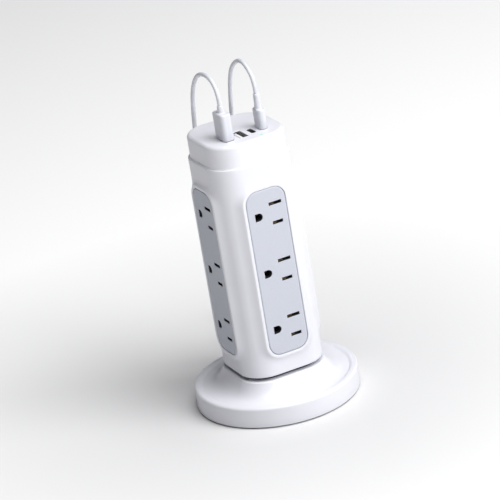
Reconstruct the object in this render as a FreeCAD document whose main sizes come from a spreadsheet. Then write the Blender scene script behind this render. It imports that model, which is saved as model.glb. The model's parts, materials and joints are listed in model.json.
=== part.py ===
import FreeCAD, Part
import math
import os
import re
import Sketcher

# Tower power strip: a square column with three outlets on each of its four sides, a cap with
# four USB ports, and a round weighted base. Millimetres. The origin is the middle of the
# footprint on the floor, +Z up, and the front side faces -Y.

os.makedirs("parts", exist_ok=True)
doc = FreeCAD.newDocument("tower_power_strip")
Vector = FreeCAD.Vector

# --------------------------------------------------------------------------------------------
# Driving dimensions
# --------------------------------------------------------------------------------------------

SIZES = (
    # clearances
    ("fit_gap", 0.15, "clearance round a piece that drops into its seat"),
    ("contact_gap", 0.3, "clearance round a contact in its cavity"),
    ("running_gap", 0.1, "clearance round a piece that slides"),
    # tower body
    ("body_half", 28.2, "axis to the flat of the tower's side"),
    ("body_corner", 17.5, "outer corner radius of the tower"),
    ("body_wall", 2.2, "wall of the tower"),
    ("under_gap", 2.5, "gap between the pedestal and the tower's underside"),
    ("panel_head", 17.4, "panel's upper edge to the tower's upper lip"),
    ("body_floor", 2.6, "thickness of the tower's floor"),
    ("lip_round", 0.8, "rounding of the tower's upper lip and lower edge"),
    # outlet panels and the raised frames round them
    ("panel_width", 27.3, "width of an outlet panel"),
    ("panel_tall", 110.0, "height of an outlet panel"),
    ("panel_corner", 8.0, "corner radius of an outlet panel"),
    ("panel_proud", 1.44, "how far a panel's face stands out from the flat of the tower's side"),
    ("panel_foot", 13.5, "tower's underside to the panel's lower edge"),
    ("panel_bevel", 0.9, "bevel round the panel's face"),
    ("frame_band", 1.7, "flat width of the raised frame round a panel"),
    ("frame_slope", 45.0, "draft of the raised frame, degrees"),
    ("seat_depth", 2.9, "depth of the ledge that the panel's flange seats on"),
    ("flange_lap", 1.5, "how far the flange reaches past the window"),
    ("flange_thick", 1.2, "thickness of the panel's flange"),
    # outlets
    ("outlet_pitch", 38.0, "distance from outlet to outlet"),
    ("blade_offset", 5.94, "panel centre line to the blade slots"),
    ("blade_spacing", 12.7, "line slot to neutral slot"),
    ("ground_offset", 6.2, "panel centre line to the ground hole"),
    ("line_slot", 7.1, "length of the line slot"),
    ("neutral_slot", 8.7, "length of the neutral slot"),
    ("slot_width", 2.2, "width of both slots"),
    ("ground_hole", 5.2, "height of the D-shaped ground hole"),
    # contact carriers, contacts and the sleeve behind them
    ("carrier_half", 13.3, "half width of a contact carrier"),
    ("carrier_inset", 3.0, "panel's upper and lower edge to the carrier's"),
    ("carrier_deep", 10.5, "depth of a contact carrier"),
    ("carrier_front", 1.0, "thickness of the carrier's front wall"),
    ("bus_thick", 0.8, "thickness of a bus strip"),
    ("bus_width", 2.4, "width of a bus strip"),
    ("bus_back", 0.8, "depth of the bus strip's back below the carrier's back"),
    ("leaf_thick", 0.6, "thickness of a contact leaf"),
    ("leaf_width", 5.2, "width of a contact leaf"),
    ("leaf_gap", 1.4, "space that a blade pushes into between two leaves"),
    ("leaf_long", 6.8, "length of a contact leaf"),
    ("ground_cup", 2.9, "outer radius of a ground contact's cup"),
    ("sleeve_wall", 1.4, "wall of the insulating sleeve"),
    # top cap
    ("cap_inset", 1.3, "how far the cap's side stands back from the tower's"),
    ("cap_corner", 16.6, "outer corner radius of the cap"),
    ("cap_rise", 14.8, "height of the cap over the tower's lip"),
    ("cap_wall", 2.2, "thickness of the cap's top"),
    ("cap_round", 2.4, "rounding of the cap's top edge"),
    ("spigot_deep", 4.0, "how far the cap reaches down into the tower"),
    ("spigot_wall", 2.0, "wall of the cap's spigot"),
    ("boss_inset", 10.2, "tower's side to the cap's screw bosses, both ways"),
    ("boss_radius", 2.6, "radius of a screw boss"),
    # ports
    ("port_row", -11.0, "place of the row of ports, front to back"),
    ("port_a_used", -11.7, "place of the USB-A port with a plug in it"),
    ("port_a_free", -1.9, "place of the free USB-A port"),
    ("port_c_free", 6.1, "place of the free USB-C port"),
    ("port_c_used", 13.4, "place of the USB-C port with a plug in it"),
    ("port_a_long", 13.1, "length of a USB-A socket"),
    ("port_a_wide", 5.7, "width of a USB-A socket"),
    ("port_c_long", 8.9, "length of a USB-C socket"),
    ("port_c_wide", 3.2, "width of a USB-C socket"),
    ("port_recess", 0.3, "depth of a socket's mouth below the cap's top"),
    ("socket_wall", 0.35, "wall of a socket's metal shell"),
    ("tongue_a_thick", 1.8, "thickness of the USB-A tongue"),
    ("tongue_a_side", 1.05, "end of a USB-A socket to the edge of its tongue"),
    ("tongue_c_thick", 0.7, "thickness of the USB-C tongue"),
    ("tongue_c_side", 1.15, "end of a USB-C socket to the edge of its tongue"),
    ("light_across", 7.3, "place of the status light, left to right"),
    ("light_along", -22.5, "place of the status light, front to back"),
    ("light_radius", 1.0, "radius of the light pipe"),
    # USB circuit board
    ("board_inset", 5.0, "tower's side to the edge of the USB circuit board"),
    ("board_corner", 13.0, "corner radius of the USB circuit board"),
    ("board_drop", 15.0, "cap's top down to the USB circuit board"),
    ("board_thick", 1.6, "thickness of a circuit board"),
    # base
    ("base_radius", 52.7, "outer radius of the base"),
    ("base_rise", 1.0, "height of the base above the floor"),
    ("rim_height", 14.2, "height of the base's rim"),
    ("rim_round", 1.7, "rounding of the rim"),
    ("rim_flat", 1.6, "flat width of the rim"),
    ("dish_width", 2.4, "width of the slope from the rim down to the dish"),
    ("dish_depth", 0.9, "depth of the dish below the rim"),
    ("base_wall", 2.4, "wall of the base"),
    ("pedestal_margin", 1.2, "how far the pedestal reaches past the tower's side"),
    ("pedestal_corner", 18.5, "corner radius of the pedestal"),
    ("pedestal_rise", 8.8, "height of the pedestal over the rim"),
    ("neck_inset", 3.6, "how far the neck stands back from the tower's side"),
    ("neck_corner", 14.6, "corner radius of the neck"),
    ("plate_thick", 1.6, "thickness of the base plate"),
    ("ballast_thick", 4.4, "thickness of the ballast disc"),
    ("ballast_inner", 9.0, "radius of the hole in the ballast disc"),
    ("ballast_outer", 33.0, "outer radius of the ballast disc"),
    ("foot_radius", 6.0, "radius of a rubber foot"),
    ("foot_deep", 0.8, "depth of a foot's seat in the base plate"),
    ("foot_inset", 14.7, "base's edge to the middle of a rubber foot"),
    ("wire_way", 9.0, "radius of the hole that the wires come up through"),
    ("post_inset", 6.7, "base's edge to its screw posts"),
    ("tower_screw_inset", 11.2, "tower's side to the screws that hold it, both ways"),
    ("screw_radius", 1.5, "radius of a screw's shank"),
    ("head_radius", 2.8, "radius of a screw's head"),
    ("head_tall", 1.6, "height of a screw's head"),
    ("flat_head_tall", 0.9, "height of a base screw's head, which lies in the plate"),
    # mains side
    ("side_height", 7.1, "height of the gland's and the reset button's axes"),
    ("gland_angle", 120.0, "direction of the cord gland, degrees from +X"),
    ("gland_radius", 4.4, "outer radius of the gland's barrel"),
    ("gland_bore", 3.6, "radius of the gland's bore"),
    ("gland_out", 3.6, "how far the gland stands out"),
    ("reset_angle", 25.0, "direction of the reset button, degrees from +X"),
    ("button_radius", 2.7, "radius of the reset button"),
    ("button_out", 2.6, "how far the reset button stands out"),
    ("button_travel", 2.0, "travel of the reset button"),
    ("breaker_wide", 13.0, "width of the circuit breaker"),
    ("breaker_deep", 15.0, "depth of the circuit breaker"),
    ("breaker_tall", 8.2, "height of the circuit breaker"),
    ("breaker_bore", 8.0, "depth of the bore that the button slides in"),
    ("button_flange", 0.5, "how far the button's flange stands out round it"),
    ("flange_stop", 0.25, "space between the button's flange and the base's wall"),
    ("spring_wire", 0.3, "radius of the return spring's wire"),
    ("wire_radius", 1.2, "radius of an insulated wire"),
    ("wire_height", 8.9, "height of the wires over the ballast"),
    ("wire_reach", 5.0, "axis to the wires that go up the tower"),
    ("link_radius", 0.95, "radius of a wire that links the bus strips"),
    ("surge_wide", 36.0, "width of the surge board"),
    ("surge_long", 14.0, "length of the surge board"),
    ("surge_front", -24.0, "place of the surge board's front edge"),
    ("surge_height", 11.2, "height of the surge board's upper face"),
    ("varistor_radius", 4.3, "radius of a varistor"),
    # USB leads
    ("lead_radius", 1.4, "radius of a USB lead"),
    ("plug_gap", 0.2, "space between the cap and a plug's grip"),
    ("plug_a_wide", 7.6, "width of the USB-A plug's grip"),
    ("plug_a_long", 14.0, "length of the USB-A plug's grip"),
    ("plug_a_tall", 17.2, "height of the USB-A plug's grip"),
    ("plug_a_corner", 2.6, "corner radius of the USB-A plug's grip"),
    ("plug_a_relief", 4.4, "length of the USB-A plug's strain relief"),
    ("plug_c_wide", 6.0, "width of the USB-C plug's grip"),
    ("plug_c_long", 11.0, "length of the USB-C plug's grip"),
    ("plug_c_tall", 12.6, "height of the USB-C plug's grip"),
    ("plug_c_corner", 2.8, "corner radius of the USB-C plug's grip"),
    ("plug_c_relief", 9.6, "length of the USB-C plug's strain relief"),
    ("blade_a_deep", 11.5, "how far the USB-A plug goes into its socket"),
    ("blade_c_deep", 6.2, "how far the USB-C plug goes into its socket"),
    ("coil_radius", 15.4, "radius of a coil at the middle of its turns"),
    ("coil_band", 8.4, "width of a coil's bundle of turns"),
    ("coil_tall", 8.4, "height of a coil's bundle of turns"),
    ("coil_c_across", 30.0, "place of the USB-C lead's coil, left to right"),
    ("coil_c_along", 78.0, "place of the USB-C lead's coil, front to back"),
    ("coil_a_across", 45.6, "place of the USB-A lead's coil, left to right"),
    ("coil_a_along", 114.8, "place of the USB-A lead's coil, front to back"),
)

sheet = doc.addObject("Spreadsheet::Sheet", "sizes")
for row, (alias, number, note) in enumerate(SIZES, 1):
    sheet.set(f"A{row}", alias)
    sheet.set(f"B{row}", str(number))
    sheet.set(f"C{row}", note)
    sheet.setAlias(f"B{row}", alias)
doc.recompute()

SHEET_NAME = re.compile(r"\b([a-z]+(?:_[a-z]+)+)\b")
SIDES = ("front", "right", "rear", "left")
QUARTER = 90
OUTLET_ROWS = (-1, 0, 1)


# heights, reaches and widths that follow from the sizes, and are used like them
WORKED_OUT = {
    "pedestal_top": "(rim_height + pedestal_rise)",
    "body_bottom": "(pedestal_top + under_gap)",
    "panel_middle": "(body_bottom + panel_foot + panel_tall / 2)",
    "body_top": "(panel_middle + panel_tall / 2 + panel_head)",
    "cap_top": "(body_top + cap_rise)",
    "board_top": "(cap_top - board_drop)",
    "carrier_tall": "(panel_tall - 2 * carrier_inset)",
    "panel_reach": "(body_half + panel_proud)",
    "seat_reach": "(body_half - seat_depth)",
    "cap_half": "(body_half - cap_inset)",
    "board_half": "(body_half - board_inset)",
    "boss_reach": "(body_half - boss_inset)",
    "pedestal_half": "(body_half + pedestal_margin)",
    "neck_half": "(body_half - neck_inset)",
    "tower_screw_reach": "(body_half - tower_screw_inset)",
    "tongue_a_wide": "(port_a_long - 2 * tongue_a_side)",
    "tongue_c_wide": "(port_c_long - 2 * tongue_c_side)",
    "foot_circle": "(base_radius - foot_inset)",
    "post_circle": "(base_radius - post_inset)",
}


def tied(text):
    """An expression with what is worked out spelled out, and size names pointed at the sheet."""

    def spelled(found):
        name = found[1]
        return tied(WORKED_OUT[name]) if name in WORKED_OUT else "sizes." + name

    return SHEET_NAME.sub(spelled, str(text))


def worth(text):
    """The number that an expression gives."""
    found = sheet.evalExpression(tied(text).replace("sizes.", ""))
    return float(getattr(found, "Value", found))


def bind(item, **texts):
    """Tie properties to the sheet; two underscores stand for a dot."""
    for path, text in texts.items():
        item.setExpression(path.replace("__", "."), tied(text))
    return item


# --------------------------------------------------------------------------------------------
# Sketches and features
# --------------------------------------------------------------------------------------------


def new_body(name):
    return doc.addObject("PartDesign::Body", name)


def new_sketch(body, role, lift="0"):
    """A sketch on one of the body's planes, moved along the plane's normal."""
    plane = next(item for item in body.Origin.OriginFeatures if item.Role == role)
    sketch = body.newObject("Sketcher::SketchObject", body.Name + "_sketch")
    sketch.AttachmentSupport = (plane, [""])
    sketch.MapMode = "FlatFace"
    return bind(sketch, AttachmentOffset__Base__z=lift)


def arc_between(start, end, radius):
    """An arc from start to end; a positive radius turns left."""
    half = (end - start) * 0.5
    left = Vector(-half.y, half.x, 0).normalize()
    reach = math.sqrt(max(radius * radius - half.Length ** 2, 0))
    centre = start + half + left * math.copysign(reach, radius)
    first, last = (start, end) if radius > 0 else (end, start)
    angles = [math.atan2(p.y - centre.y, p.x - centre.x) for p in (first, last)]
    if angles[1] <= angles[0]:
        angles[1] += 2 * math.pi
    return Part.ArcOfCircle(Part.Circle(centre, Vector(0, 0, 1), abs(radius)), *angles)


def outline(sketch, path):
    """A closed loop through points given as expressions, counter-clockwise. A third value
    makes the edge after a point an arc of that radius, and a minus sign turns it right."""
    corners = [Vector(worth(step[0]), worth(step[1]), 0) for step in path]
    first = sketch.GeometryCount
    starts, ends = [], []
    for index, step in enumerate(path):
        start, end = corners[index], corners[(index + 1) % len(path)]
        if len(step) == 3:
            radius = worth(step[2])
            sketch.addGeometry(arc_between(start, end, radius), False)
            starts.append(1 if radius > 0 else 2)
        else:
            sketch.addGeometry(Part.LineSegment(start, end), False)
            starts.append(1)
        ends.append(3 - starts[-1])
    for index, step in enumerate(path):
        edge = first + index
        following = first + (index + 1) % len(path)
        sketch.addConstraint(
            Sketcher.Constraint("Coincident", edge, ends[index], following, starts[following - first])
        )
        corner = corners[index]
        for kind, text, at in (("DistanceX", step[0], corner.x), ("DistanceY", step[1], corner.y)):
            number = sketch.addConstraint(Sketcher.Constraint(kind, -1, 1, edge, starts[index], at))
            sketch.setExpression(f"Constraints[{number}]", tied(text))
        if len(step) == 3:
            radius = worth(step[2])
            number = sketch.addConstraint(Sketcher.Constraint("Radius", edge, abs(radius)))
            sketch.setExpression(f"Constraints[{number}]", tied(f"abs({step[2]})"))
    return sketch


def rounded(sketch, half_x, half_y, corner, x="0", y="0"):
    """A rounded rectangle of the given half sides round (x, y)."""
    left, right = f"{x} - ({half_x})", f"{x} + ({half_x})"
    low, high = f"{y} - ({half_y})", f"{y} + ({half_y})"
    r = f"({corner})"
    return outline(sketch, (
        (f"{left} + {r}", low), (f"{right} - {r}", low, r),
        (right, f"{low} + {r}"), (right, f"{high} - {r}", r),
        (f"{right} - {r}", high), (f"{left} + {r}", high, r),
        (left, f"{high} - {r}"), (left, f"{low} + {r}", r),
    ))


def rectangle(sketch, half_x, half_y, x="0", y="0"):
    """A sharp rectangle of the given half sides round (x, y)."""
    left, right = f"{x} - ({half_x})", f"{x} + ({half_x})"
    low, high = f"{y} - ({half_y})", f"{y} + ({half_y})"
    return outline(sketch, ((left, low), (right, low), (right, high), (left, high)))


def disc(sketch, radius, x="0", y="0"):
    """A circle round (x, y)."""
    centre = Vector(worth(x), worth(y), 0)
    edge = sketch.addGeometry(Part.Circle(centre, Vector(0, 0, 1), worth(radius)), False)
    for constraint, text in (
        (Sketcher.Constraint("Radius", edge, worth(radius)), radius),
        (Sketcher.Constraint("DistanceX", -1, 1, edge, 3, centre.x), x),
        (Sketcher.Constraint("DistanceY", -1, 1, edge, 3, centre.y), y),
    ):
        number = sketch.addConstraint(constraint)
        sketch.setExpression(f"Constraints[{number}]", tied(text))
    return sketch


def pad(sketch, length, reverse=False, taper=None):
    """Extrude a sketch along its normal, or against it."""
    body = sketch.getParentGeoFeatureGroup()
    feature = body.newObject("PartDesign::Pad", body.Name + "_pad")
    feature.Profile = sketch
    feature.Reversed = reverse
    if taper:
        bind(feature, TaperAngle=taper)
    return bind(feature, Length=length)


def pocket(sketch, length, reverse=False):
    """Cut a sketch out against its normal, or along it when reversed."""
    body = sketch.getParentGeoFeatureGroup()
    feature = body.newObject("PartDesign::Pocket", body.Name + "_pocket")
    feature.Profile = sketch
    feature.Reversed = reverse
    return bind(feature, Length=length)


def round_edges(body, radius, wanted, kind="Fillet"):
    """Fillet or chamfer the edges of the body's tip that the test picks."""
    doc.recompute()
    base = body.Tip
    names = [f"Edge{number}" for number, edge in enumerate(base.Shape.Edges, 1) if wanted(edge)]
    feature = body.newObject("PartDesign::" + kind, body.Name + "_" + kind.lower())
    feature.Base = (base, names)
    return bind(feature, **{"Size" if kind == "Chamfer" else "Radius": radius})


def quarters(body, features):
    """Repeat features on all four sides of the body."""
    pattern = body.newObject("PartDesign::PolarPattern", body.Name + "_quarters")
    pattern.Originals = features
    axis = next(item for item in body.Origin.OriginFeatures if item.Role == "Z_Axis")
    pattern.Axis = (axis, [""])
    pattern.Angle = 360
    pattern.Occurrences = len(SIDES)
    body.Tip = pattern
    return pattern


def level(height, low=0.0):
    """A test for flat edges at a height whose middle is at least that far from the axis."""

    def wanted(edge):
        box = edge.BoundBox
        if abs(box.ZMin - worth(height)) > 1e-4 or abs(box.ZMax - worth(height)) > 1e-4:
            return False
        middle = edge.valueAt((edge.FirstParameter + edge.LastParameter) / 2)
        return math.hypot(middle.x, middle.y) >= worth(low) - 1e-4

    return wanted


# --------------------------------------------------------------------------------------------
# Primitives and booleans
# --------------------------------------------------------------------------------------------


def block(name, x, y, z):
    """A box from low to high expressions along each axis."""
    box = doc.addObject("Part::Box", name)
    sides = (("Length", "x", x), ("Width", "y", y), ("Height", "z", z))
    for side, axis, (low, high) in sides:
        bind(box, **{side: f"({high}) - ({low})", f"Placement__Base__{axis}": low})
    return box


def rod(name, radius, length, at, tilt=None):
    """A cylinder that stands at a place; tilt is the rotation of its axis from +Z."""
    cylinder = doc.addObject("Part::Cylinder", name)
    if tilt:
        cylinder.Placement.Rotation = tilt
    x, y, z = at
    bind(cylinder, Radius=radius, Height=length)
    return bind(cylinder, Placement__Base__x=x, Placement__Base__y=y, Placement__Base__z=z)


def joined(name, items):
    """Several items as one object: fused where they touch, a group where they don't."""
    if len(items) == 1:
        return items[0]
    fuse = doc.addObject("Part::MultiFuse", name)
    fuse.Shapes = items
    return fuse


def cut(name, base, tools):
    """The base with every tool taken out."""
    result = doc.addObject("Part::Cut", name)
    result.Base = base
    result.Tool = joined(name + "_tools", tools)
    return result


def turned(item, degrees):
    """A copy of the item that stays linked to it, turned about the tower's axis."""
    copy = doc.addObject("Part::Compound", item.Name + "_turned")
    copy.Links = [item]
    copy.Placement = FreeCAD.Placement(Vector(), FreeCAD.Rotation(Vector(0, 0, 1), degrees))
    return copy


NODES = {}


def node(name, item):
    """Name a finished piece; its label is the name of its file."""
    item.Label = name
    NODES[name] = item
    return item


# --------------------------------------------------------------------------------------------
# Tower body
# --------------------------------------------------------------------------------------------

WINDOW_X = "panel_width / 2 + fit_gap"
WINDOW_Z = "panel_tall / 2 + fit_gap"
FLANGE_X = "panel_width / 2 + flange_lap"
FLANGE_Z = "panel_tall / 2 + flange_lap"
FLANGE_BACK = "(seat_reach - flange_thick)"
CARRIER_BACK = "(seat_reach - flange_thick - carrier_deep)"
SCREW_CORNERS = [(x, y) for x in (-1, 1) for y in (-1, 1)]


def tower_body():
    body = new_body("tower_shell")
    outer = rounded(new_sketch(body, "XY_Plane", "body_bottom"), "body_half", "body_half", "body_corner")
    pad(outer, "body_top - body_bottom")
    # the raised frame round each window, with soft sloping sides
    frame = rounded(
        new_sketch(body, "XZ_Plane", "panel_reach"),
        "panel_width / 2 + frame_band", "panel_tall / 2 + frame_band", "panel_corner + frame_band",
        y="panel_middle",
    )
    raised = pad(frame, "panel_reach - seat_reach", reverse=True, taper="frame_slope")
    quarters(body, [raised])
    inner = rounded(
        new_sketch(body, "XY_Plane", "body_bottom + body_floor"),
        "body_half - body_wall", "body_half - body_wall", "body_corner - body_wall",
    )
    pocket(inner, "body_top - body_bottom - body_floor", reverse=True)
    # the ledge that a panel's flange seats on, the room for the flange, and the window
    ledge = rectangle(
        new_sketch(body, "XZ_Plane", "seat_reach"),
        f"{FLANGE_X} + body_wall", f"{FLANGE_Z} + body_wall", y="panel_middle",
    )
    seat = pad(ledge, "body_half - seat_reach - body_wall / 4")
    room = rectangle(
        new_sketch(body, "XZ_Plane", "seat_reach"),
        f"{FLANGE_X} + fit_gap", f"{FLANGE_Z} + fit_gap", y="panel_middle",
    )
    flange_room = pocket(room, "flange_thick")
    window = rounded(
        new_sketch(body, "XZ_Plane", "panel_reach + 1"), WINDOW_X, WINDOW_Z, "panel_corner + fit_gap",
        y="panel_middle",
    )
    opening = pocket(window, "panel_reach - seat_reach + 2")
    quarters(body, [seat, flange_room, opening])
    # holes in the floor for the wires and the screws from the base
    holes = disc(new_sketch(body, "XY_Plane", "body_bottom"), "wire_way")
    for x, y in SCREW_CORNERS:
        disc(holes, "screw_radius", f"{x} * tower_screw_reach", f"{y} * tower_screw_reach")
    pocket(holes, "body_floor", reverse=True)
    outside = "body_half - body_wall / 2"
    round_edges(body, "lip_round", level("body_top", outside))
    round_edges(body, "lip_round", level("body_bottom", outside))
    node("tower_body", body)


# --------------------------------------------------------------------------------------------
# Outlet panels, their contacts and the carriers that hold them
# --------------------------------------------------------------------------------------------


def outlet_height(row):
    return f"panel_middle + {row} * outlet_pitch"


def outlet_openings(sketch, spare="0"):
    """The line slot, neutral slot and ground hole of each outlet, with room to spare."""
    for row in OUTLET_ROWS:
        height = outlet_height(row)
        for long, up in (("neutral_slot", "+"), ("line_slot", "-")):
            rectangle(
                sketch, f"{long} / 2 + {spare}", f"slot_width / 2 + {spare}",
                x="blade_offset", y=f"{height} {up} blade_spacing / 2",
            )
        ground_d(sketch, height, f"ground_hole / 2 + {spare}")
    return sketch


def ground_d(sketch, height, half):
    """A D-shaped hole: flat on the side away from the blades, round on the other."""
    flat = f"-(ground_offset) - ({half})"
    middle = f"-(ground_offset)"
    outline(sketch, (
        (flat, f"{height} - ({half})"), (middle, f"{height} - ({half})", half),
        (f"{middle} + ({half})", height, half), (middle, f"{height} + ({half})"),
        (flat, f"{height} + ({half})"),
    ))


def outlet_panel(side, turn):
    body = new_body(f"panel_{side}")
    face = rounded(
        new_sketch(body, "XZ_Plane", "panel_reach"),
        "panel_width / 2", "panel_tall / 2", "panel_corner", y="panel_middle",
    )
    pad(face, "panel_reach - seat_reach", reverse=True)
    bevelled = bevel_face(body)
    flange = rectangle(new_sketch(body, "XZ_Plane", "seat_reach"), FLANGE_X, FLANGE_Z, y="panel_middle")
    pad(flange, "flange_thick", reverse=True)
    holes = outlet_openings(new_sketch(body, "XZ_Plane", "panel_reach"))
    pocket(holes, "panel_reach - seat_reach + flange_thick")
    body.Placement.Rotation = FreeCAD.Rotation(Vector(0, 0, 1), turn)
    node(f"outlet_panel_{side}", body)


def bevel_face(body):
    """Bevel the edge of a panel's face."""

    def on_face(edge):
        box = edge.BoundBox
        return abs(box.YMin + worth("panel_reach")) < 1e-4 and abs(box.YMax + worth("panel_reach")) < 1e-4

    return round_edges(body, "panel_bevel", on_face, "Chamfer")


# where each bus strip runs, from the panel's centre line
LINE_STRIP = "(blade_offset - leaf_width / 2 - bus_width / 2 - contact_gap)"
NEUTRAL_STRIP = "(blade_offset + leaf_width / 2 + bus_width / 2 + contact_gap)"
STRIP_TOP = "(panel_middle + carrier_tall / 2 + 5.8)"
STRIP_FOOT = "(panel_middle - carrier_tall / 2 + 2)"
STRIP_BACK = f"(-{CARRIER_BACK} - bus_back)"
STRIP_FRONT = f"({STRIP_BACK} - bus_thick)"


def contact_carrier(side, turn):
    """The insulating block behind a panel, with a cavity for each contact."""
    body = new_body(f"carrier_{side}")
    solid = rectangle(
        new_sketch(body, "XZ_Plane", FLANGE_BACK), "carrier_half", "carrier_tall / 2", y="panel_middle"
    )
    pad(solid, "carrier_deep", reverse=True)
    # entries through the front wall
    pocket(outlet_openings(new_sketch(body, "XZ_Plane", FLANGE_BACK), "fit_gap"), "carrier_front")
    # cavities open to the back
    cavities = new_sketch(body, "XZ_Plane", CARRIER_BACK)
    for row in OUTLET_ROWS:
        height = outlet_height(row)
        for up in "+-":
            rectangle(
                cavities, "leaf_width / 2 + contact_gap", "leaf_gap / 2 + leaf_thick + contact_gap",
                x="blade_offset", y=f"{height} {up} blade_spacing / 2",
            )
        disc(cavities, "ground_cup + contact_gap", "-(ground_offset)", height)
    pocket(cavities, "carrier_deep - carrier_front", reverse=True)
    # channels for the three strips, open to the back
    channels = new_sketch(body, "XZ_Plane", CARRIER_BACK)
    channel_top = "panel_middle + carrier_tall / 2 + 1"
    for middle, half in strips():
        rectangle(
            channels, f"{half} + contact_gap", f"({channel_top} - {STRIP_FOOT} + contact_gap) / 2",
            x=middle, y=f"({channel_top} + {STRIP_FOOT} - contact_gap) / 2",
        )
    pocket(channels, "bus_back + bus_thick", reverse=True)
    # short channels for the tabs that reach from the strips to the contacts
    tabs = new_sketch(body, "XZ_Plane", CARRIER_BACK)
    for row in OUTLET_ROWS:
        height = outlet_height(row)
        for up in "+-":
            rectangle(
                tabs, "leaf_width / 2 + bus_width + 2 * contact_gap",
                "leaf_gap / 2 + leaf_thick + contact_gap",
                x="blade_offset", y=f"{height} {up} blade_spacing / 2",
            )
    pocket(tabs, "bus_back + bus_thick", reverse=True)
    body.Placement.Rotation = FreeCAD.Rotation(Vector(0, 0, 1), turn)
    node(f"contact_carrier_{side}", body)


def strips():
    """The middle and half width of the line, neutral and ground strips."""
    return (
        (LINE_STRIP, "bus_width / 2"),
        (NEUTRAL_STRIP, "bus_width / 2"),
        ("-(ground_offset)", "ground_cup"),
    )


def bus_strip(kind, side, turn):
    """One long strip with a contact at each of the side's three outlets."""
    name = f"{kind}_bus_{side}"
    middle, half = dict(zip(("line", "neutral", "ground"), strips()))[kind]
    front, back = STRIP_FRONT, STRIP_BACK
    items = [block(name + "_strip", (f"{middle} - {half}", f"{middle} + {half}"), (front, back),
                   (STRIP_FOOT, STRIP_TOP))]
    for row in OUTLET_ROWS:
        if kind == "ground":
            items.append(ground_cup(name, outlet_height(row)))
        else:
            items.extend(blade_contact(name, kind, middle, outlet_height(row)))
    whole = joined(name + "_whole", items)
    if turn:
        whole = turned(whole, turn)
    node(name, whole)


def ground_cup(name, height):
    """A round cup that grips a ground pin."""
    lying = FreeCAD.Rotation(Vector(1, 0, 0), QUARTER)
    at = ("-(ground_offset)", STRIP_BACK, height)
    outer = rod(name + "_cup", "ground_cup", "leaf_long + bus_thick", at, lying)
    inner = rod(name + "_cup_bore", "ground_cup - leaf_thick", "leaf_long + 2 * bus_thick", at, lying)
    return cut(name + "_cup_shell", outer, [inner])


def blade_contact(name, kind, strip, height):
    """A tab from the strip, and two leaves that a blade pushes between."""
    up = "+" if kind == "neutral" else "-"
    middle = f"({height} {up} blade_spacing / 2)"
    far = "(blade_offset + leaf_width / 2)" if kind == "line" else "(blade_offset - leaf_width / 2)"
    near = f"({strip})"
    low_x, high_x = (near, far) if kind == "line" else (far, near)
    half = "(leaf_gap / 2 + leaf_thick)"
    pieces = [block(name + "_tab", (low_x, high_x), (STRIP_FRONT, STRIP_BACK),
                    (f"{middle} - {half}", f"{middle} + {half}"))]
    for low, high in ((f"{middle} - {half}", f"{middle} - leaf_gap / 2"),
                      (f"{middle} + leaf_gap / 2", f"{middle} + {half}")):
        pieces.append(block(
            name + "_leaf", ("blade_offset - leaf_width / 2", "blade_offset + leaf_width / 2"),
            (f"{STRIP_FRONT} - leaf_long", STRIP_FRONT), (low, high),
        ))
    return pieces


def core_sleeve():
    """The square insulating tube that closes the backs of the four carriers."""
    body = new_body("sleeve")
    outer = f"{CARRIER_BACK} - fit_gap"
    ring = rectangle(new_sketch(body, "XY_Plane", "body_bottom + body_floor"), outer, outer)
    rectangle(ring, f"{outer} - sleeve_wall", f"{outer} - sleeve_wall")
    pad(ring, f"panel_middle + carrier_tall / 2 - body_bottom - body_floor")
    node("core_sleeve", body)


# --------------------------------------------------------------------------------------------
# Top cap and USB ports
# --------------------------------------------------------------------------------------------

PORTS_A = ("port_a_used", "port_a_free")
PORTS_C = ("port_c_free", "port_c_used")
SPIGOT = "(body_half - body_wall - fit_gap)"
SOCKET_TALL = "(cap_top - port_recess - board_top)"


def top_cap():
    body = new_body("cap")
    skirt = rounded(new_sketch(body, "XY_Plane", "body_top"), "cap_half", "cap_half", "cap_corner")
    pad(skirt, "cap_top - body_top")
    round_edges(body, "cap_round", level("cap_top"))
    spigot = rounded(
        new_sketch(body, "XY_Plane", "body_top"), SPIGOT, SPIGOT, "body_corner - body_wall - fit_gap"
    )
    pad(spigot, "spigot_deep", reverse=True)
    inner = f"{SPIGOT} - spigot_wall"
    hollow = rounded(
        new_sketch(body, "XY_Plane", "body_top - spigot_deep"), inner, inner,
        "body_corner - body_wall - fit_gap - spigot_wall",
    )
    pocket(hollow, "cap_top - cap_wall - body_top + spigot_deep", reverse=True)
    # bosses that the circuit board screws to
    bosses = new_sketch(body, "XY_Plane", "board_top")
    for x, y in SCREW_CORNERS:
        disc(bosses, "boss_radius", f"{x} * boss_reach", f"{y} * boss_reach")
    pad(bosses, "cap_top - cap_wall - board_top + 0.5")
    pilots = new_sketch(body, "XY_Plane", "board_top")
    for x, y in SCREW_CORNERS:
        disc(pilots, "screw_radius - 0.5", f"{x} * boss_reach", f"{y} * boss_reach")
    pocket(pilots, "8", reverse=True)
    # mouths of the ports and the status light's hole
    mouths = new_sketch(body, "XY_Plane", "cap_top")
    for port in PORTS_A:
        rectangle(mouths, "port_a_wide / 2 + fit_gap", "port_a_long / 2 + fit_gap", x=port, y="port_row")
    for port in PORTS_C:
        rounded(
            mouths, "port_c_wide / 2 + fit_gap", "port_c_long / 2 + fit_gap", "port_c_wide / 2",
            x=port, y="port_row",
        )
    disc(mouths, "light_radius + running_gap", "light_across", "light_along")
    pocket(mouths, "cap_wall")
    node("top_cap", body)


def usb_board():
    body = new_body("usb_circuit")
    plate = rounded(
        new_sketch(body, "XY_Plane", "board_top - board_thick"), "board_half", "board_half", "board_corner"
    )
    for x, y in SCREW_CORNERS:
        disc(plate, "screw_radius", f"{x} * boss_reach", f"{y} * boss_reach")
    pad(plate, "board_thick")
    node("usb_board", body)


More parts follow.
